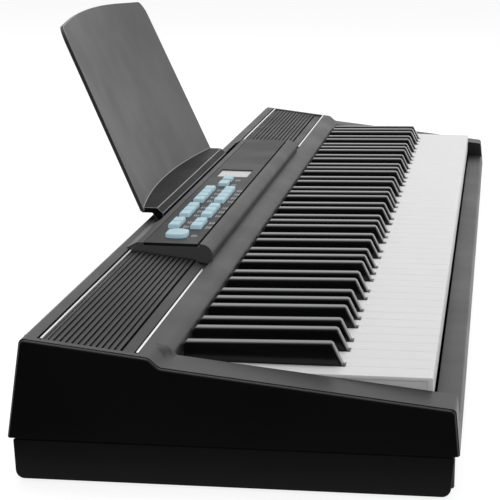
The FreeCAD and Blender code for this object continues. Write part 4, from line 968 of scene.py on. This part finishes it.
# Ledge finish: darker plastic, which also paints the shade on the tongue and front face in the slot.
ledge_and_shade_plastic = moulded_plastic("ledge_and_shade_plastic", (0.0025, 0.0025, 0.0025), 0.5, 0.0006, 0.05)
# Painted highlight: a paler, glossier finish on the eased edges.
painted_highlight_edge = moulded_plastic("painted_highlight_edge", (0.13, 0.13, 0.13), 0.3, 0.0006, 0.5)
music_rest = eased_copy("music_rest", rest_edge, rest_plastic)
music_rest.data.materials.append(ledge_and_shade_plastic)
music_rest.data.materials.append(painted_highlight_edge)
music_rest.modifiers["easing"].material = painted_highlight_slot
# Everything below the ledge top takes the ledge finish as painted shade, together with the ledge's
# upward faces.
for face in music_rest.data.polygons:
    height = face.center.z - panel_top
    if height < ledge_top or (height < ledge_height and face.normal.z > facing_up):
        face.material_index = ledge_and_shade_slot

# Studio
#
# Pale floor, a large soft lamp above and two weak ones at the low end and in front. Two black
# cards beside the low end keep its end face dark, as black velvet does beside a product.

floor_half = 30.0
floor_glow = 0.85
card_near = -0.68
card_far = -1.6
card_half_depth = 1.5
card_height = 1.2
card_lift = 0.002
lens_length = 158.74
film_width = 36
camera_place = Vector((-1.82163, -0.17585, 0.33382))
camera_target = Vector((0.0, 0.02651, 0.02685))
camera_roll = math.radians(0.88)


def white_to_the_eye(tree):
    """1 for what the camera sees directly, in a mirror or through glass, otherwise 0."""
    rays = add_node(tree, "ShaderNodeLightPath", {})
    direct = maths(tree, "MAXIMUM", rays.outputs["Is Camera Ray"], rays.outputs["Is Glossy Ray"])
    return maths(tree, "MAXIMUM", direct, rays.outputs["Is Transmission Ray"])


world = bpy.data.worlds.new("studio")
bpy.context.scene.world = world
world.use_nodes = True
tree = world.node_tree
surround = tree.nodes["Background"]
surround.inputs["Color"].default_value = (1, 1, 1, 1)
level = add_node(tree, "ShaderNodeMapRange",
                 {"Value": white_to_the_eye(tree), "To Min": 0.3, "To Max": 1.0})
tree.links.new(level.outputs["Result"], surround.inputs["Strength"])

floor_material = bpy.data.materials.new("pale_floor")
floor_material.use_nodes = True
tree = floor_material.node_tree
tree.nodes.clear()
own_light = add_node(tree, "ShaderNodeEmission", {"Strength": floor_glow})
lit = add_node(tree, "ShaderNodeBsdfDiffuse", {"Color": (0.3, 0.3, 0.3, 1)})
seen = add_node(tree, "ShaderNodeAddShader", {0: own_light.outputs[0], 1: lit.outputs[0]})
plain = add_node(tree, "ShaderNodeBsdfDiffuse", {"Color": (0.5, 0.5, 0.5, 1)})
choice = add_node(tree, "ShaderNodeMixShader",
                  {0: white_to_the_eye(tree), 1: plain.outputs[0], 2: seen.outputs[0]})
add_node(tree, "ShaderNodeOutputMaterial", {"Surface": choice.outputs[0]})

card_material = bpy.data.materials.new("black_card")
card_material.use_nodes = True
card_shader = card_material.node_tree.nodes["Principled BSDF"]
card_shader.inputs["Base Color"].default_value = (0, 0, 0, 1)
card_shader.inputs["Specular IOR Level"].default_value = 0


def stage_sheet(name, corners, material):
    """Flat sheet that belongs to the studio."""
    mesh = bpy.data.meshes.new(name)
    mesh.from_pydata(corners, [], [(0, 1, 2, 3)])
    mesh.materials.append(material)
    sheet = add_to_scene(name, mesh)
    return sheet


def level_corners(left, right, half_depth, height):
    """Corners of a level sheet."""
    return [(left, -half_depth, height), (right, -half_depth, height),
            (right, half_depth, height), (left, half_depth, height)]


stage_sheet("floor", level_corners(-floor_half, floor_half, floor_half, 0), floor_material)
upright_corners = [(card_far, -card_half_depth, 0), (card_far, card_half_depth, 0),
                   (card_far, card_half_depth, card_height),
                   (card_far, -card_half_depth, card_height)]
flat_corners = level_corners(card_far, card_near, card_half_depth, card_lift)
for name, corners in (("upright_card", upright_corners), ("flat_card", flat_corners)):
    card = stage_sheet(name, corners, card_material)
    card.visible_camera = False
    card.visible_shadow = False
    card.visible_transmission = False
    card.visible_diffuse = False


def softbox(name, place, width, depth, power):
    """Soft lamp that faces the middle of the floor and isn't seen itself."""
    lamp = bpy.data.lights.new(name, "AREA")
    lamp.shape = "RECTANGLE"
    lamp.size = width
    lamp.size_y = depth
    lamp.energy = power
    box = add_to_scene(name, lamp)
    box.location = place
    box.rotation_mode = "QUATERNION"
    box.rotation_quaternion = (-box.location).to_track_quat("-Z", "Y")
    box.visible_camera = False


softbox("overhead", place=(0.6, 0.2, 2.4), width=2.4, depth=2.0, power=46)
softbox("side_fill", place=(-2.6, -0.2, 0.7), width=1.4, depth=1.0, power=12)
softbox("front_fill", place=(0.1, -2.4, 0.8), width=2.0, depth=1.0, power=14)

camera_data = bpy.data.cameras.new("camera")
camera_data.lens = lens_length
camera_data.sensor_width = film_width
camera = add_to_scene("camera", camera_data)
camera.location = camera_place
camera.rotation_mode = "QUATERNION"
aim = (camera_target - camera_place).to_track_quat("-Z", "Y")
camera.rotation_quaternion = aim @ Quaternion((0, 0, 1), camera_roll)
bpy.context.scene.camera = camera
bpy.context.scene.view_settings.view_transform = "Standard"
